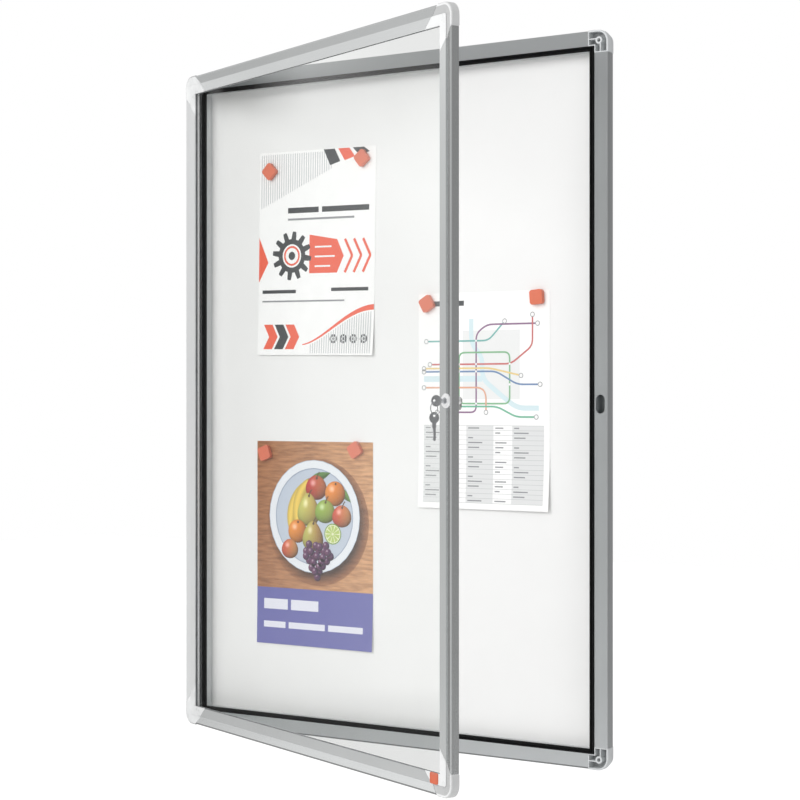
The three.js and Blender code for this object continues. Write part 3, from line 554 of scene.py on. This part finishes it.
def makeSheet(name):
    # Two grids, front and rear, joined round their edge into one closed sheet
    rows, columns = sheetGrid["rows"], sheetGrid["columns"]
    halfWide, halfTall = sheetSize[0] / 2, sheetSize[1] / 2
    down, across = np.linspace(halfTall, -halfTall, rows), np.linspace(-halfWide, halfWide, columns)
    y, x = np.meshgrid(down, across, indexing="ij")
    front, rear = sheetPoints(name, x, y, 0.0), sheetPoints(name, x, y, -paperThick)
    count = rows * columns
    faces = gridFaces(rows, columns)
    number = np.arange(count).reshape(rows, columns)
    rim = np.concatenate([number[0], number[1:, -1], number[-1, -2::-1], number[-2:0:-1, 0]])
    following = np.roll(rim, -1)
    edge = np.stack([rim, rim + count, following + count, following], axis=-1)
    allFaces = np.concatenate([faces[:, ::-1], faces + count, edge[:, ::-1]])
    points = np.concatenate([front.reshape(-1, 3), rear.reshape(-1, 3)])
    title = name.removeprefix("notice_")
    piece = makePiece("sheet_" + title, points, allFaces, paper, "carcass", False)
    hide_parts(name)


stripeWidth, stripeStep, routeStep = 1.7, 4.1, 1.8  # millimetres on the sheets
woodStreak = 0.7


# Printed shapes are grids of sheet coordinates in millimetres: (points, colour per point, streak, layer)
def patch(points, colour, layer):
    points = np.asarray(points, float)
    tones = np.broadcast_to(linear(colour), (*points.shape[:2], 3))
    return points, tones, 0.0, layer


def fourSided(a, b, c, d, colour, layer=0, steps=2):
    # Points between two opposite sides, weighted along both
    s = np.linspace(0, 1, steps)[:, None, None]
    t = np.linspace(0, 1, steps)[None, :, None]
    a, b, c, d = (np.asarray(p, float) for p in (a, b, c, d))
    return patch((1 - s) * ((1 - t) * a + t * b) + s * ((1 - t) * d + t * c), colour, layer)


def block(left, low, right, high, colour, layer, steps):
    return fourSided((left, low), (right, low), (right, high), (left, high), colour, layer, steps)


def bar(x, y, width, height, colour, layer=0):
    # A block from its left end and its middle height, with a point about every 8 mm
    steps = int(max(width, height) // 8) + 2
    return block(x, y - height / 2, x + width, y + height / 2, colour, layer, steps)


def stripe(x, low, high, colour, tilt=0.0):
    # A thin upright strip whose right foot stands higher by the tilt
    right = x + stripeWidth
    return fourSided((x, low), (right, low + tilt), (right, high), (x, high), colour)


def between(lower, upper, start, end, colour, layer):
    # The area between two curves over x
    x = np.linspace(start, end, 40)
    s = np.linspace(0, 1, 6)[:, None]
    y = (1 - s) * lower(x) + s * upper(x)
    return patch(np.stack([np.broadcast_to(x, y.shape), y], axis=-1), colour, layer)


def roundedRoute(corners, radius):
    # Straight runs joined by quadratic curves, then spaced evenly along the way
    corners = np.asarray(corners, float)
    t = np.linspace(0, 1, 7)[:, None]
    parts = [corners[:1]]
    for before, here, after in zip(corners, corners[1:], corners[2:]):
        start = here + (before - here) * min(radius / np.linalg.norm(before - here), 0.5)
        end = here + (after - here) * min(radius / np.linalg.norm(after - here), 0.5)
        parts.append((1 - t) ** 2 * start + 2 * t * (1 - t) * here + t**2 * end)
    route = np.concatenate([*parts, corners[-1:]])
    gone = np.concatenate([[0.0], np.cumsum(np.linalg.norm(np.diff(route, axis=0), axis=1))])
    even = np.linspace(0, gone[-1], int(gone[-1] / routeStep) + 4)
    return np.stack([np.interp(even, gone, route[:, 0]), np.interp(even, gone, route[:, 1])], axis=-1)


def normalOf(route):
    # Unit vectors square to the route at its points
    ahead = np.gradient(route, axis=0)
    ahead /= np.linalg.norm(ahead, axis=1, keepdims=True)
    return np.stack([-ahead[:, 1], ahead[:, 0]], axis=-1)


def ribbon(route, width, colour, layer=0):
    # The route moved by half the width to either side along its normal
    side = normalOf(route) * width / 2
    return patch(np.stack([route - side, route + side]), colour, layer)


def wholeTurn(count):
    # Once round clockwise from the left
    return np.linspace(np.pi, -np.pi, count)


def around(centre, radius, turn):
    return np.stack([centre[0] + radius * np.cos(turn), centre[1] + radius * np.sin(turn)], axis=-1)


def hoop(centre, inner, outer, colour, layer):
    return patch(around(centre, np.array([inner, outer])[:, None], wholeTurn(33)), colour, layer)


def mixed(first, second, share):
    # Linear light between two display colours
    return linear(first) * (1 - share) + linear(second) * share


def roundFruit(centre, radius, colour, layer, blush, blushShare, taper=0.0, tall=1.0):
    # A disc shaded as a ball lit from the upper left, with a soft highlight and a blush on one side;
    # taper draws its top in and tall stretches it upwards, which makes a pear
    turn = wholeTurn(29)
    reach = np.linspace(0.0, 1.0, 8)[:, None]
    x, y = reach * np.cos(turn), reach * np.sin(turn)
    z = np.sqrt(np.clip(1 - x**2 - y**2, 0, 1))
    light = np.clip(0.42 + 0.62 * (-0.45 * x + 0.55 * y + 0.7 * z), 0.12, 1.15)[..., None]
    glint = np.clip(1 - 7 * ((x + 0.32) ** 2 + (y - 0.38) ** 2), 0, 1)[..., None]
    side = blushShare * np.clip(0.5 + 0.8 * x, 0, 1)[..., None]
    tones = np.clip(mixed(colour, blush, side) * light + 0.35 * glint**2, 0, 1)
    points = np.stack([centre[0] + radius * x * (1 - taper * y), centre[1] + radius * tall * y], axis=-1)
    return points, tones, 0.0, layer


def makePrint(name, patches):
    # All printed shapes of one sheet as one mesh, each a hair above the layer below it
    points, faces, tones, streaks, start = [], [], [], [], 0
    edge = np.array(sheetSize) / 2
    for flat, colours, streak, layer in patches:
        rows, columns = flat.shape[:2]
        inside = np.clip(flat / 1000, -edge, edge)
        proud = inkHeights["lowest"] + inkHeights["layer"] * layer
        points.append(sheetPoints(name, inside[..., 0], inside[..., 1], proud).reshape(-1, 3))
        tones.append(np.concatenate([colours, np.ones((rows, columns, 1))], axis=-1).reshape(-1, 4))
        streaks.append(np.full(rows * columns, streak))
        faces.append(gridFaces(rows, columns) + start)
        start += rows * columns
    title, points, faces = name.removeprefix("notice_"), np.concatenate(points), np.concatenate(faces)
    piece = makePiece("print_" + title, points, faces, printInk, "carcass", False)
    addAttribute(piece.data, "ink", "FLOAT_COLOR", np.concatenate(tones))
    addAttribute(piece.data, "streak", "FLOAT", np.concatenate(streaks))
    faceOut(piece)


def faceOut(piece):
    # Turns every printed face towards the front of the board, which looks along -Y
    mesh = piece.data
    normals = np.zeros(len(mesh.polygons) * 3, np.float32)
    mesh.polygons.foreach_get("normal", normals)
    wrong = np.nonzero(normals.reshape(-1, 3)[:, 1] > 0)[0]
    for number in wrong.tolist():
        mesh.polygons[number].flip()
    mesh.update()


inkColours = {
    "orange": (240, 104, 78),
    "charcoal": (66, 69, 71),
    "pale": (208, 210, 211),
    "mid": (150, 152, 154),
    "white": (248, 248, 247),
    "wood": (178, 122, 82),
    "paleWood": (226, 172, 124),
    "violet": (104, 105, 172),
    "paleViolet": (232, 233, 244),
    "water": (216, 234, 238),
}


def trainingPrint():
    # Arrow bands round a gear wheel; plain bars stand where writing would be
    ink = inkColours
    made = [stripe(x, 66 + 0.42 * (x + 102), 145, ink["pale"], 0.7) for x in np.arange(-102, 28, stripeStep)]
    for x, colour in ((12, "charcoal"), (38, "orange"), (64, "charcoal")):
        low = 122 + 0.22 * x
        made.append(fourSided((x + 12, low), (x + 30, low + 5), (x + 20, 148), (x, 148), ink[colour], 1))
    bars = [
        (-52, 62, 56, 8, "charcoal"),
        (10, 62, 84, 8, "charcoal"),
        (-52, 49, 120, 3, "mid"),
        (-98, -56, 62, 5, "charcoal"),
        (28, -54, 66, 5, "charcoal"),
        (-98, -70, 150, 2.4, "mid"),
    ]
    made += [bar(*place, ink[colour]) for *place, colour in bars]
    fields = [
        [(-105, -42), (-88, -14), (-88, -12), (-105, 24)],
        [(-12, -30), (38, -30), (38, 18), (-12, 26)],
        [(38, -30), (50, -6), (50, -6), (38, 18)],
    ]
    made += [fourSided(*corners, ink["orange"]) for corners in fields]
    chevrons = [roundedRoute([(x, 18), (x + 13, -6), (x, -30)], 2) for x in (52, 68, 84)]
    made += [ribbon(route, 4.2, ink["orange"]) for route in chevrons]
    gear, turn = (-44, -4), wholeTurn(145)
    teeth = 30 - 5.5 * np.clip(2.4 * np.sin(12 * turn), -1, 1)
    made.append(patch(around(gear, np.stack([np.full_like(turn, 17.0), teeth]), turn), ink["charcoal"], 1))
    made.append(hoop(gear, 11.5, 14.5, ink["orange"], 1))
    made.append(hoop(gear, 0.0, 6.0, ink["charcoal"], 1))
    made += [bar(-2, y, width, 2.4, ink["white"], 2) for y, width in ((8, 30), (-6, 36), (-20, 28))]
    for x, colour in ((-94, "orange"), (-74, "charcoal"), (-54, "orange")):
        made.append(fourSided((x + 10, -122), (x + 26, -122), (x + 16, -104), (x, -104), ink[colour], 1))
        made.append(fourSided((x, -140), (x + 16, -140), (x + 26, -122), (x + 10, -122), ink[colour], 1))
    sweep = lambda x: -134 + 50 * np.sin(np.clip((x + 22) / 127, 0, 1) * np.pi / 2) ** 1.6
    made.append(between(sweep, lambda x: sweep(x) + 1.5 + 6.5 * (x + 22) / 127, -22, 104.5, ink["orange"], 1))
    made += [stripe(x, -146, sweep(x) - 2, ink["pale"]) for x in np.arange(-8, 102, stripeStep)]
    for x in (34, 52, 70, 88):
        made.append(hoop((x, -125), 0.0, 6.6, ink["charcoal"], 1))
        made.append(hoop((x, -125), 2.2, 3.4, ink["white"], 2))
    return made


def fruitPrint():
    # A plate of plain fruit on a wooden table, over a band with bars in place of writing
    ink = inkColours
    halfWide, halfTall, bandTop = 105, 148.5, -66
    table = block(-halfWide, bandTop, halfWide, halfTall, ink["wood"], 0, 24)[0]
    share = (table[..., :1] + halfWide) / (2 * halfWide)
    made = [
        (table, mixed(ink["wood"], ink["paleWood"], share), woodStreak, 0),
        block(-halfWide, -halfTall, halfWide, bandTop, ink["violet"], 0, 16),
        roundShadow((6, 32), 92, (70, 44, 28)),
        hoop((0, 40), 0.0, 82, (196, 206, 220), 2),
        hoop((0, 40), 70, 81, (236, 240, 245), 3),
        hoop((0, 40), 69, 70.2, (150, 164, 190), 3),
        leaf((-8, 92), (30, 104), 13, (92, 138, 62), 4),
        leaf((44, 84), (66, 62), 11, (110, 152, 70), 4),
    ]
    bananas = [((24, 30), 66, 108, 190, 19), ((30, 46), 60, 128, 206, 18)]
    for number, (centre, reach, start, end, width) in enumerate(bananas):
        route = around(centre, reach, np.radians(np.linspace(start, end, 34)))
        taper = width * np.sin(np.linspace(0.10, np.pi - 0.10, 34)) ** 0.5
        made.append(crescent(route, taper, (240, 206, 92), 5 + number))
    fruits = [
        ((4, 82), 19, 0.10, 0.94, (196, 52, 44), (232, 176, 92), 0.35),
        ((38, 74), 18, 0.00, 1.00, (240, 146, 52), (214, 104, 34), 0.30),
        ((-10, 50), 19, 0.34, 1.26, (206, 204, 104), (222, 150, 70), 0.45),
        ((20, 48), 18, 0.10, 0.94, (150, 184, 74), (204, 196, 96), 0.40),
        ((50, 42), 17, 0.10, 0.94, (214, 84, 56), (238, 190, 104), 0.50),
        ((-30, 18), 17, 0.00, 1.00, (240, 150, 56), (216, 108, 36), 0.30),
        ((-2, 12), 18, 0.34, 1.22, (196, 190, 96), (196, 100, 62), 0.55),
    ]
    for number, (centre, radius, taper, tall, colour, blush, share) in enumerate(fruits):
        made.append(roundFruit(centre, radius, colour, 7 + number, blush, share, taper, tall))
        crown = (centre[0] + 0.06 * radius, centre[1] + radius * (tall - 0.22))
        made.append(hoop(crown, 0.0, radius * 0.10, (84, 62, 36), 14))
        if taper:
            stalk = roundedRoute([crown, (crown[0] + 2, crown[1] + 6), (crown[0] + 5, crown[1] + 9)], 3)
            made.append(ribbon(stalk, 1.7, (92, 70, 44), 15))
    made.extend(citrusHalf((34, 16), 15, 15))
    for row, number in enumerate((4, 5, 5, 4, 3, 2, 1)):
        for place in range(number):
            x = 12 + (place - number / 2) * 10.4 + 2.2 * math.sin(3.1 * row + 2 * place)
            y = -2 - row * 7.6 + 1.6 * math.cos(2.3 * row + 1.7 * place)
            made.append(roundFruit((x, y), 6.0, (112, 56, 96), 16 + (row + place) % 3, (66, 40, 100), 0.6))
    made.append(roundFruit((-44, -8), 15, (212, 92, 60), 16, (240, 196, 110), 0.5, 0.10, 0.94))
    bars = [(-92, -90, 44, 15), (-42, -90, 50, 15)]
    bars += [(-92, -120, 40, 9), (-46, -120, 66, 9), (26, -120, 62, 9)]
    return made + [bar(*place, ink["paleViolet"], 1) for place in bars]


def leaf(start, end, width, colour, layer):
    # Two bowed edges from the stalk to the tip, the lower half darker than the upper
    start, end = np.asarray(start, float), np.asarray(end, float)
    along = np.linspace(0, 1, 24)
    middle = start + along[:, None] * (end - start)
    side = np.array([-(end - start)[1], (end - start)[0]]) / np.linalg.norm(end - start)
    bow = np.sin(np.pi * along**0.8) * width / 2
    s = np.linspace(-1, 1, 7)[:, None]
    points = middle[None] + (s * bow)[..., None] * side
    light = (0.72 + 0.26 * np.tanh(6 * s))[..., None] * np.ones((7, 24, 1))
    return points, np.clip(linear(colour) * light, 0, 1), 0.0, layer


def citrusHalf(centre, radius, layer):
    # Rind, pith and ten wedges of flesh
    made = [
        hoop(centre, 0.0, radius, (120, 160, 56), layer),
        hoop(centre, 0.0, radius * 0.9, (238, 242, 206), layer + 1),
    ]
    reach = radius * np.array([0.12, 0.5, 0.82])[:, None]
    for turn in np.radians(np.arange(0, 360, 36)):
        wedge = np.linspace(turn + 0.07, turn + 0.56, 6)
        made.append(patch(around(centre, reach, wedge), (186, 208, 110), layer + 2))
    return made


def roundShadow(centre, radius, colour):
    # A disc that fades from the shadow's colour to the wood's at its rim
    reach = np.linspace(0.0, 1.0, 12)[:, None]
    share = np.clip((reach - 0.82) / 0.18, 0, 1)[..., None] * np.ones((12, 49, 1))
    tones = mixed(colour, inkColours["wood"], share)
    return around(centre, radius * reach, wholeTurn(49)), tones, woodStreak, 1


def crescent(route, width, colour, layer):
    # A ribbon of several strips across, paler along its crown
    s = np.linspace(-0.5, 0.5, 7)[:, None]
    points = route + normalOf(route) * (s * width)[..., None]
    light = (0.62 + 0.45 * np.cos(np.pi * (s + 0.12)) ** 2)[..., None] * np.ones((7, len(route), 1))
    tip = np.clip((np.abs(np.linspace(-0.5, 0.5, len(route))) - 0.44) / 0.05, 0, 1)[None, :, None]
    return points, np.clip(mixed(colour, (112, 88, 44), tip) * light, 0, 1), 0.0, layer


def routesPrint():
    # A plain diagram of routes over pale ground, and a ruled table under it
    ink = inkColours
    made = [bar(-94, 134, 62, 7, (92, 94, 96)), block(-34, 2, 58, 96, (237, 238, 237), 0, 8)]
    river = roundedRoute([(-20, 112), (-20, 78), (-2, 60), (-2, 30), (30, 6), (54, -10), (88, -10)], 12)
    made.append(ribbon(roundedRoute([(-96, 30), (-30, 30), (-2, 30)], 6), 8, ink["water"], 1))
    made.append(ribbon(river, 7, ink["water"], 2))
    routes = [
        ([(-92, 82), (-30, 82), (8, 82), (34, 108)], (126, 184, 178)),
        ([(-74, -16), (-12, -16), (-12, 92), (6, 104), (86, 104)], (150, 118, 148)),
        ([(78, 116), (78, 74), (44, 50), (-86, 50)], (206, 120, 118)),
        ([(-40, 14), (-40, 66), (42, 66), (42, -4), (-40, -4), (-40, 14)], (140, 188, 148)),
        ([(-96, 40), (-62, 40), (20, 40), (54, 22), (90, 22)], (124, 150, 186)),
        ([(-96, 44.5), (10, 44.5), (60, 34)], (234, 208, 146)),
        ([(-96, 18), (-4, 18), (4, 10), (4, -16)], (230, 176, 150)),
        ([(-62, -8), (22, -8), (52, -22), (84, -22)], (124, 190, 160)),
    ]
    for number, (corners, colour) in enumerate(routes):
        made.append(ribbon(roundedRoute(corners, 9), 2.3, colour, 3 + number))
        ends = [] if corners[0] == corners[-1] else [corners[0], corners[-1]]
        for end in ends:
            made.append(hoop(end, 0.0, 3.6, ink["white"], 11))
            made.append(hoop(end, 2.6, 3.5, ink["mid"], 12))
    crossings = ((-12, 82), (-12, 50), (-12, 40), (42, 50), (-40, 40), (-12, -4), (-40, 50), (42, 22))
    made += [hoop(place, 0.0, 1.5, (250, 250, 250), 12) for place in crossings]
    top, bottom, rows = -34.0, -140.0, 17
    columns = ((-96, 34, True), (-62, 34, False), (-28, 44, True), (16, 30, False), (46, 50, True))
    for x, width, shaded in columns:
        if shaded:
            made.append(bar(x, (top + bottom) / 2, width, top - bottom, (226, 227, 227), 1))
    levels = np.linspace(top, bottom, rows)
    for number, y in enumerate(levels.tolist()):
        made.append(bar(-96, y, 192, 0.55, (196, 198, 198), 2))
        for place, (x, width, shaded) in enumerate(columns):
            if number < rows - 1 and (number * 3 + place * 5) % 4 != 1:
                length = 8 + 5 * ((number * 7 + place * 3) % 4)
                made.append(bar(x + 3, y - 3.4, min(length, width - 6), 1.7, ink["mid"], 3))
    return made


for name, design in (
    ("notice_upper_left", trainingPrint()),
    ("notice_lower_left", fruitPrint()),
    ("notice_right", routesPrint()),
):
    makeSheet(name)
    makePrint(name, design)
print("notices printed")


ringSettings = {"turns": 2.0, "radius": 0.0077, "wide": 0.00046, "flat": 0.00024, "gap": 0.00002}
ringGrid = {"start": 2.2, "steps": 150, "sides": 12}


def makeSplitRing(settings):
    # Two turns of flattened wire: an oval carried along a helix about the ring's axis, with closed ends
    low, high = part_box("key_ring")
    centre = np.array((low + high) / 2)
    steps, sides, turns = ringGrid["steps"], ringGrid["sides"], settings["turns"]
    along = np.linspace(0.0, 2 * np.pi * turns, steps)[:, None]
    section = np.linspace(0.0, 2 * np.pi, sides, endpoint=False)[None, :]
    rise = (settings["flat"] * 2 + settings["gap"]) * (along / (2 * np.pi) - turns / 2)
    reach = settings["radius"] + settings["wide"] * np.cos(section)
    depth = rise + settings["flat"] * np.sin(section)
    turn = along + ringGrid["start"]
    points = centre + onDoor(reach * np.cos(turn), reach * np.sin(turn), depth)
    piece = makePiece("split_key_ring", points, tubeFaces(steps, sides), ringMetal, "ring")
    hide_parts("key_ring")


makeSplitRing(ringSettings)
print("split ring made")


badgeSettings = {
    "centreAcross": 0.3465,
    "centreHeight": -0.4618,
    "width": 0.0175,
    "height": 0.0142,
    "power": 7.0,
    "thick": 0.0009,
    "rim": 0.0003,
    "rimRise": 0.0012,
    "rimProfile": ((1.0, 0.0), (1.0, 0.75), (0.985, 0.94), (0.95, 1.0), (0.91, 1.0), (0.89, 0.94)),
    "faceSizes": (0.87, 0.5, 0.02),
    "sides": 72,
}


def makeBadge(settings):
    # A plain moulded plate: squares with rounded corners (|x|^p + |y|^p = 1) from the rear edge over a
    # raised rim, given as shares of its size and thickness, to the face, which is a little lower
    turn = np.linspace(0.0, 2 * np.pi, settings["sides"], endpoint=False)
    outline = np.stack([np.cos(turn), np.sin(turn)], axis=-1)
    outline /= (np.abs(outline) ** settings["power"]).sum(axis=1, keepdims=True) ** (1 / settings["power"])
    rimSizes, rimHeights = np.array(settings["rimProfile"]).T
    sizes = np.concatenate([rimSizes, settings["faceSizes"]])
    inset = np.full(len(settings["faceSizes"]), settings["thick"] - settings["rim"])
    proud = np.concatenate([rimHeights * settings["thick"], inset])
    spot = outline * sizes[:, None, None] * (settings["width"] / 2, settings["height"] / 2)
    across, height = settings["centreAcross"] + spot[..., 0], settings["centreHeight"] + spot[..., 1]
    base = inDoor("door_bottom_rail")[1][1] - settings["rimRise"]
    points = onDoor(across, height, (base + proud)[:, None])
    faces = [face[::-1] for face in tubeFaces(len(sizes), len(turn))]
    makePiece("cap_badge", points, faces, badgePlastic, "door")


makeBadge(badgeSettings)
print("badge made")


floorSettings = {"level": -1.5, "half": 14.0, "colour": 0.86, "shine": 0.52, "gloss": 0.35, "pane": 0.55}
worldSettings = {"fill": 0.66, "gloss": 1.0, "pane": 0.7}
lampSettings = {
    "key": {"place": (-1.1, -3.5, 1.75), "size": 3.2, "power": 90.0},
    "side": {"place": (2.8, -2.6, 0.9), "size": 2.4, "power": 3.0},
}


def seenShare(tree, settings):
    # One for camera rays, a share each for gloss and for what shows through the pane, and zero for the rest
    rays = addNode(tree, "ShaderNodeLightPath").outputs
    through = spread(tree, rays["Is Transmission Ray"], settings["gloss"], settings["pane"], 0.0, 1.0)
    turned = calculate(tree, "MULTIPLY", rays["Is Glossy Ray"], through)
    return calculate(tree, "ADD", rays["Is Camera Ray"], turned)


def makeFloor(settings):
    # A pale matt floor that also shines a little to the camera, so that it stays white and keeps a shadow
    finish, tree, shader = startFinish("paleFloor", Roughness=0.9)
    shader.inputs["Base Color"].default_value = (settings["colour"],) * 3 + (1.0,)
    shader.inputs["Emission Color"].default_value = (1.0, 1.0, 1.0, 1.0)
    strength = spread(tree, seenShare(tree, settings), 0.0, settings["shine"], 0.0, 1.0)
    tree.links.new(strength, shader.inputs["Emission Strength"])
    half, level = settings["half"], settings["level"]
    corners = [(x, y, level) for x, y in ((-half, -half), (half, -half), (half, half), (-half, half))]
    floor = makeMesh("paleFloor", corners, [(0, 1, 2, 3)], finish)


def makeWorld(settings):
    # White for the camera, for gloss and through glass; a plain soft fill for the rest
    world = bpy.data.worlds.new("studio")
    world.use_nodes = True
    tree = world.node_tree
    background = tree.nodes["Background"]
    background.inputs["Color"].default_value = (1.0, 1.0, 1.0, 1.0)
    strength = spread(tree, seenShare(tree, settings), settings["fill"], 1.0, 0.0, 1.0)
    tree.links.new(strength, background.inputs["Strength"])
    scene.world = world


def makeLamps(settings):
    for name, lamp in settings.items():
        data = bpy.data.lights.new(name + "Lamp", "AREA")
        data.shape = "DISK"
        data.size = lamp["size"]
        data.energy = lamp["power"]
        holder = bpy.data.objects.new(name + "Lamp", data)
        place = np.array(lamp["place"])
        holder.location = place
        away = place / np.linalg.norm(place)
        holder.rotation_euler = (math.acos(away[2]), 0.0, math.atan2(away[1], away[0]) + math.pi / 2)
        holder.visible_glossy = False
        holder.visible_transmission = False
        scene.collection.objects.link(holder)


# A round tent of grey cloth stands about the object; only reflections see it. The pane's sharp reflection
# has tones of its own between the pane's first and last direction
screenSettings = {
    "radius": 4.2,
    "lowest": -20.6,
    "highest": 89.0,
    "rows": 150,
    "step": 0.5,
    "fineSteps": (185.0, 188.0, 0.05),
    "ceiling": 0.50,
    "ceilingFrom": 26.0,
    "ceilingFade": 16.0,
    "directions": (0, 95, 105, 146, 152, 172, 175, 186, 196, 205, 216, 226, 250, 290, 345, 356, 360),
    "rises": (-20, -11, -3, 5, 12, 18, 26),
    "tones": (
        (32, 31, 50, 50, 24, 24, 62, 62, 72, 68, 32, 52, 66, 57, 50, 32, 32),
        (31, 31, 50, 50, 22, 22, 60, 50, 62, 60, 26, 50, 62, 57, 50, 31, 31),
        (29, 31, 50, 50, 21, 21, 55, 48, 62, 60, 34, 58, 60, 50, 50, 29, 29),
        (28, 30, 50, 50, 20, 20, 70, 48, 62, 66, 52, 51, 51, 50, 50, 28, 28),
        (27, 30, 50, 50, 22, 22, 120, 78, 68, 70, 60, 50, 50, 50, 50, 27, 27),
        (27, 30, 50, 50, 24, 24, 140, 66, 98, 80, 60, 53, 53, 50, 50, 27, 27),
        (40, 40, 50, 50, 40, 40, 80, 70, 66, 66, 62, 50, 50, 50, 50, 40, 40),
    ),
    "pane": {
        "highest": 22.0,
        "directions": (180.5, 182.0, 185.5, 185.65, 186.0, 186.3, 186.8, 187.6, 190.2, 194.2, 198.0, 204.0),
        "rises": (-20.0, -14.3, -13.2, -11.0, -3.0, 5.0, 12.0, 13.5, 16.0),
        "tones": (
            (58, 4, 4, 4, 4, 4, 4, 4, 4, 4, 4, 58),
            (60, 4, 4, 4, 4, 4, 4, 6, 10, 12, 15, 58),
            (60, 4, 4, 30, 40, 30, 20, 25, 50, 80, 90, 58),
            (62, 4, 4, 40, 60, 50, 45, 42, 55, 80, 90, 60),
            (78, 4, 4, 40, 60, 35, 15, 12, 45, 85, 95, 66),
            (86, 4, 4, 40, 60, 30, 6, 2, 45, 50, 85, 70),
            (104, 4, 4, 40, 45, 15, 2, 2, 35, 90, 120, 76),
            (106, 4, 4, 40, 40, 4, 2, 4, 95, 80, 90, 76),
            (106, 4, 4, 10, 10, 4, 4, 8, 95, 40, 30, 76),
        ),
    },
}


def tonesAt(settings, turn, rise):
    # Straight between the named tones, in hundredths of white, round the object and up it
    rings = np.stack([np.interp(turn[0], settings["directions"], row) for row in settings["tones"]]) / 100
    step = np.interp(rise[:, 0], settings["rises"], np.arange(len(rings)))
    under = np.minimum(step.astype(int), len(rings) - 2)
    share = (step - under)[:, None]
    return rings[under] * (1 - share) + rings[under + 1] * share


def makeScreen(settings):
    # Tone by direction, turning into the ceiling's tone; the pane's own tones lie beside it
    across = np.union1d(np.arange(0, 360, settings["step"]), np.arange(*settings["fineSteps"]).round(2))
    upwards = np.linspace(settings["lowest"], settings["highest"], settings["rows"])
    rise, turn = np.meshgrid(upwards, across, indexing="ij")
    toCeiling = np.clip((rise - settings["ceilingFrom"]) / settings["ceilingFade"], 0, 1)
    level = tonesAt(settings, turn, rise) * (1 - toCeiling) + settings["ceiling"] * toCeiling
    pane = settings["pane"]
    inside = (turn > pane["directions"][0]) & (turn < pane["directions"][-1]) & (rise < pane["highest"])
    paneLevel = np.where(inside, tonesAt(pane, turn, rise), level)
    rise, turn = np.radians(rise), np.radians(turn)
    sphere = np.stack([np.cos(rise) * np.cos(turn), np.cos(rise) * np.sin(turn), np.sin(rise)], axis=-1)
    faces = gridFaces(*rise.shape, closed=True)
    screen = makeMesh("greyTent", settings["radius"] * sphere, faces, tentFinish())
    addAttribute(screen.data, "tone", "FLOAT", level)
    addAttribute(screen.data, "paneTone", "FLOAT", paneLevel)
    screen.visible_camera = False
    screen.visible_diffuse = False
    screen.visible_shadow = False


def tentFinish():
    # Its own tone for a ray that something glossy has turned, the pane's for a perfectly sharp one, and
    # nothing at all for any other ray
    finish = bpy.data.materials.new("greyTent")
    finish.use_nodes = True
    tree = finish.node_tree
    tree.nodes.clear()
    rays = addNode(tree, "ShaderNodeLightPath").outputs
    tone = addNode(tree, "ShaderNodeAttribute", attribute_name="tone").outputs["Fac"]
    paneTone = addNode(tree, "ShaderNodeAttribute", attribute_name="paneTone").outputs["Fac"]
    inputs = {"Factor": rays["Is Singular Ray"], "A": tone, "B": paneTone}
    chosen = addNode(tree, "ShaderNodeMix", inputs, data_type="FLOAT")
    cloth = addNode(tree, "ShaderNodeEmission", {"Strength": chosen.outputs["Result"]})
    clear = addNode(tree, "ShaderNodeBsdfTransparent")
    turned = calculate(tree, "GREATER_THAN", rays["Glossy Depth"], 0.5)
    inputs = {0: turned, 1: clear.outputs["BSDF"], 2: cloth.outputs["Emission"]}
    either = addNode(tree, "ShaderNodeMixShader", inputs)
    addNode(tree, "ShaderNodeOutputMaterial", {"Surface": either.outputs["Shader"]})
    return finish


makeFloor(floorSettings)
makeWorld(worldSettings)
makeLamps(lampSettings)
makeScreen(screenSettings)
scene.view_settings.view_transform = "Standard"
print("floor, world, lamps and screen made")
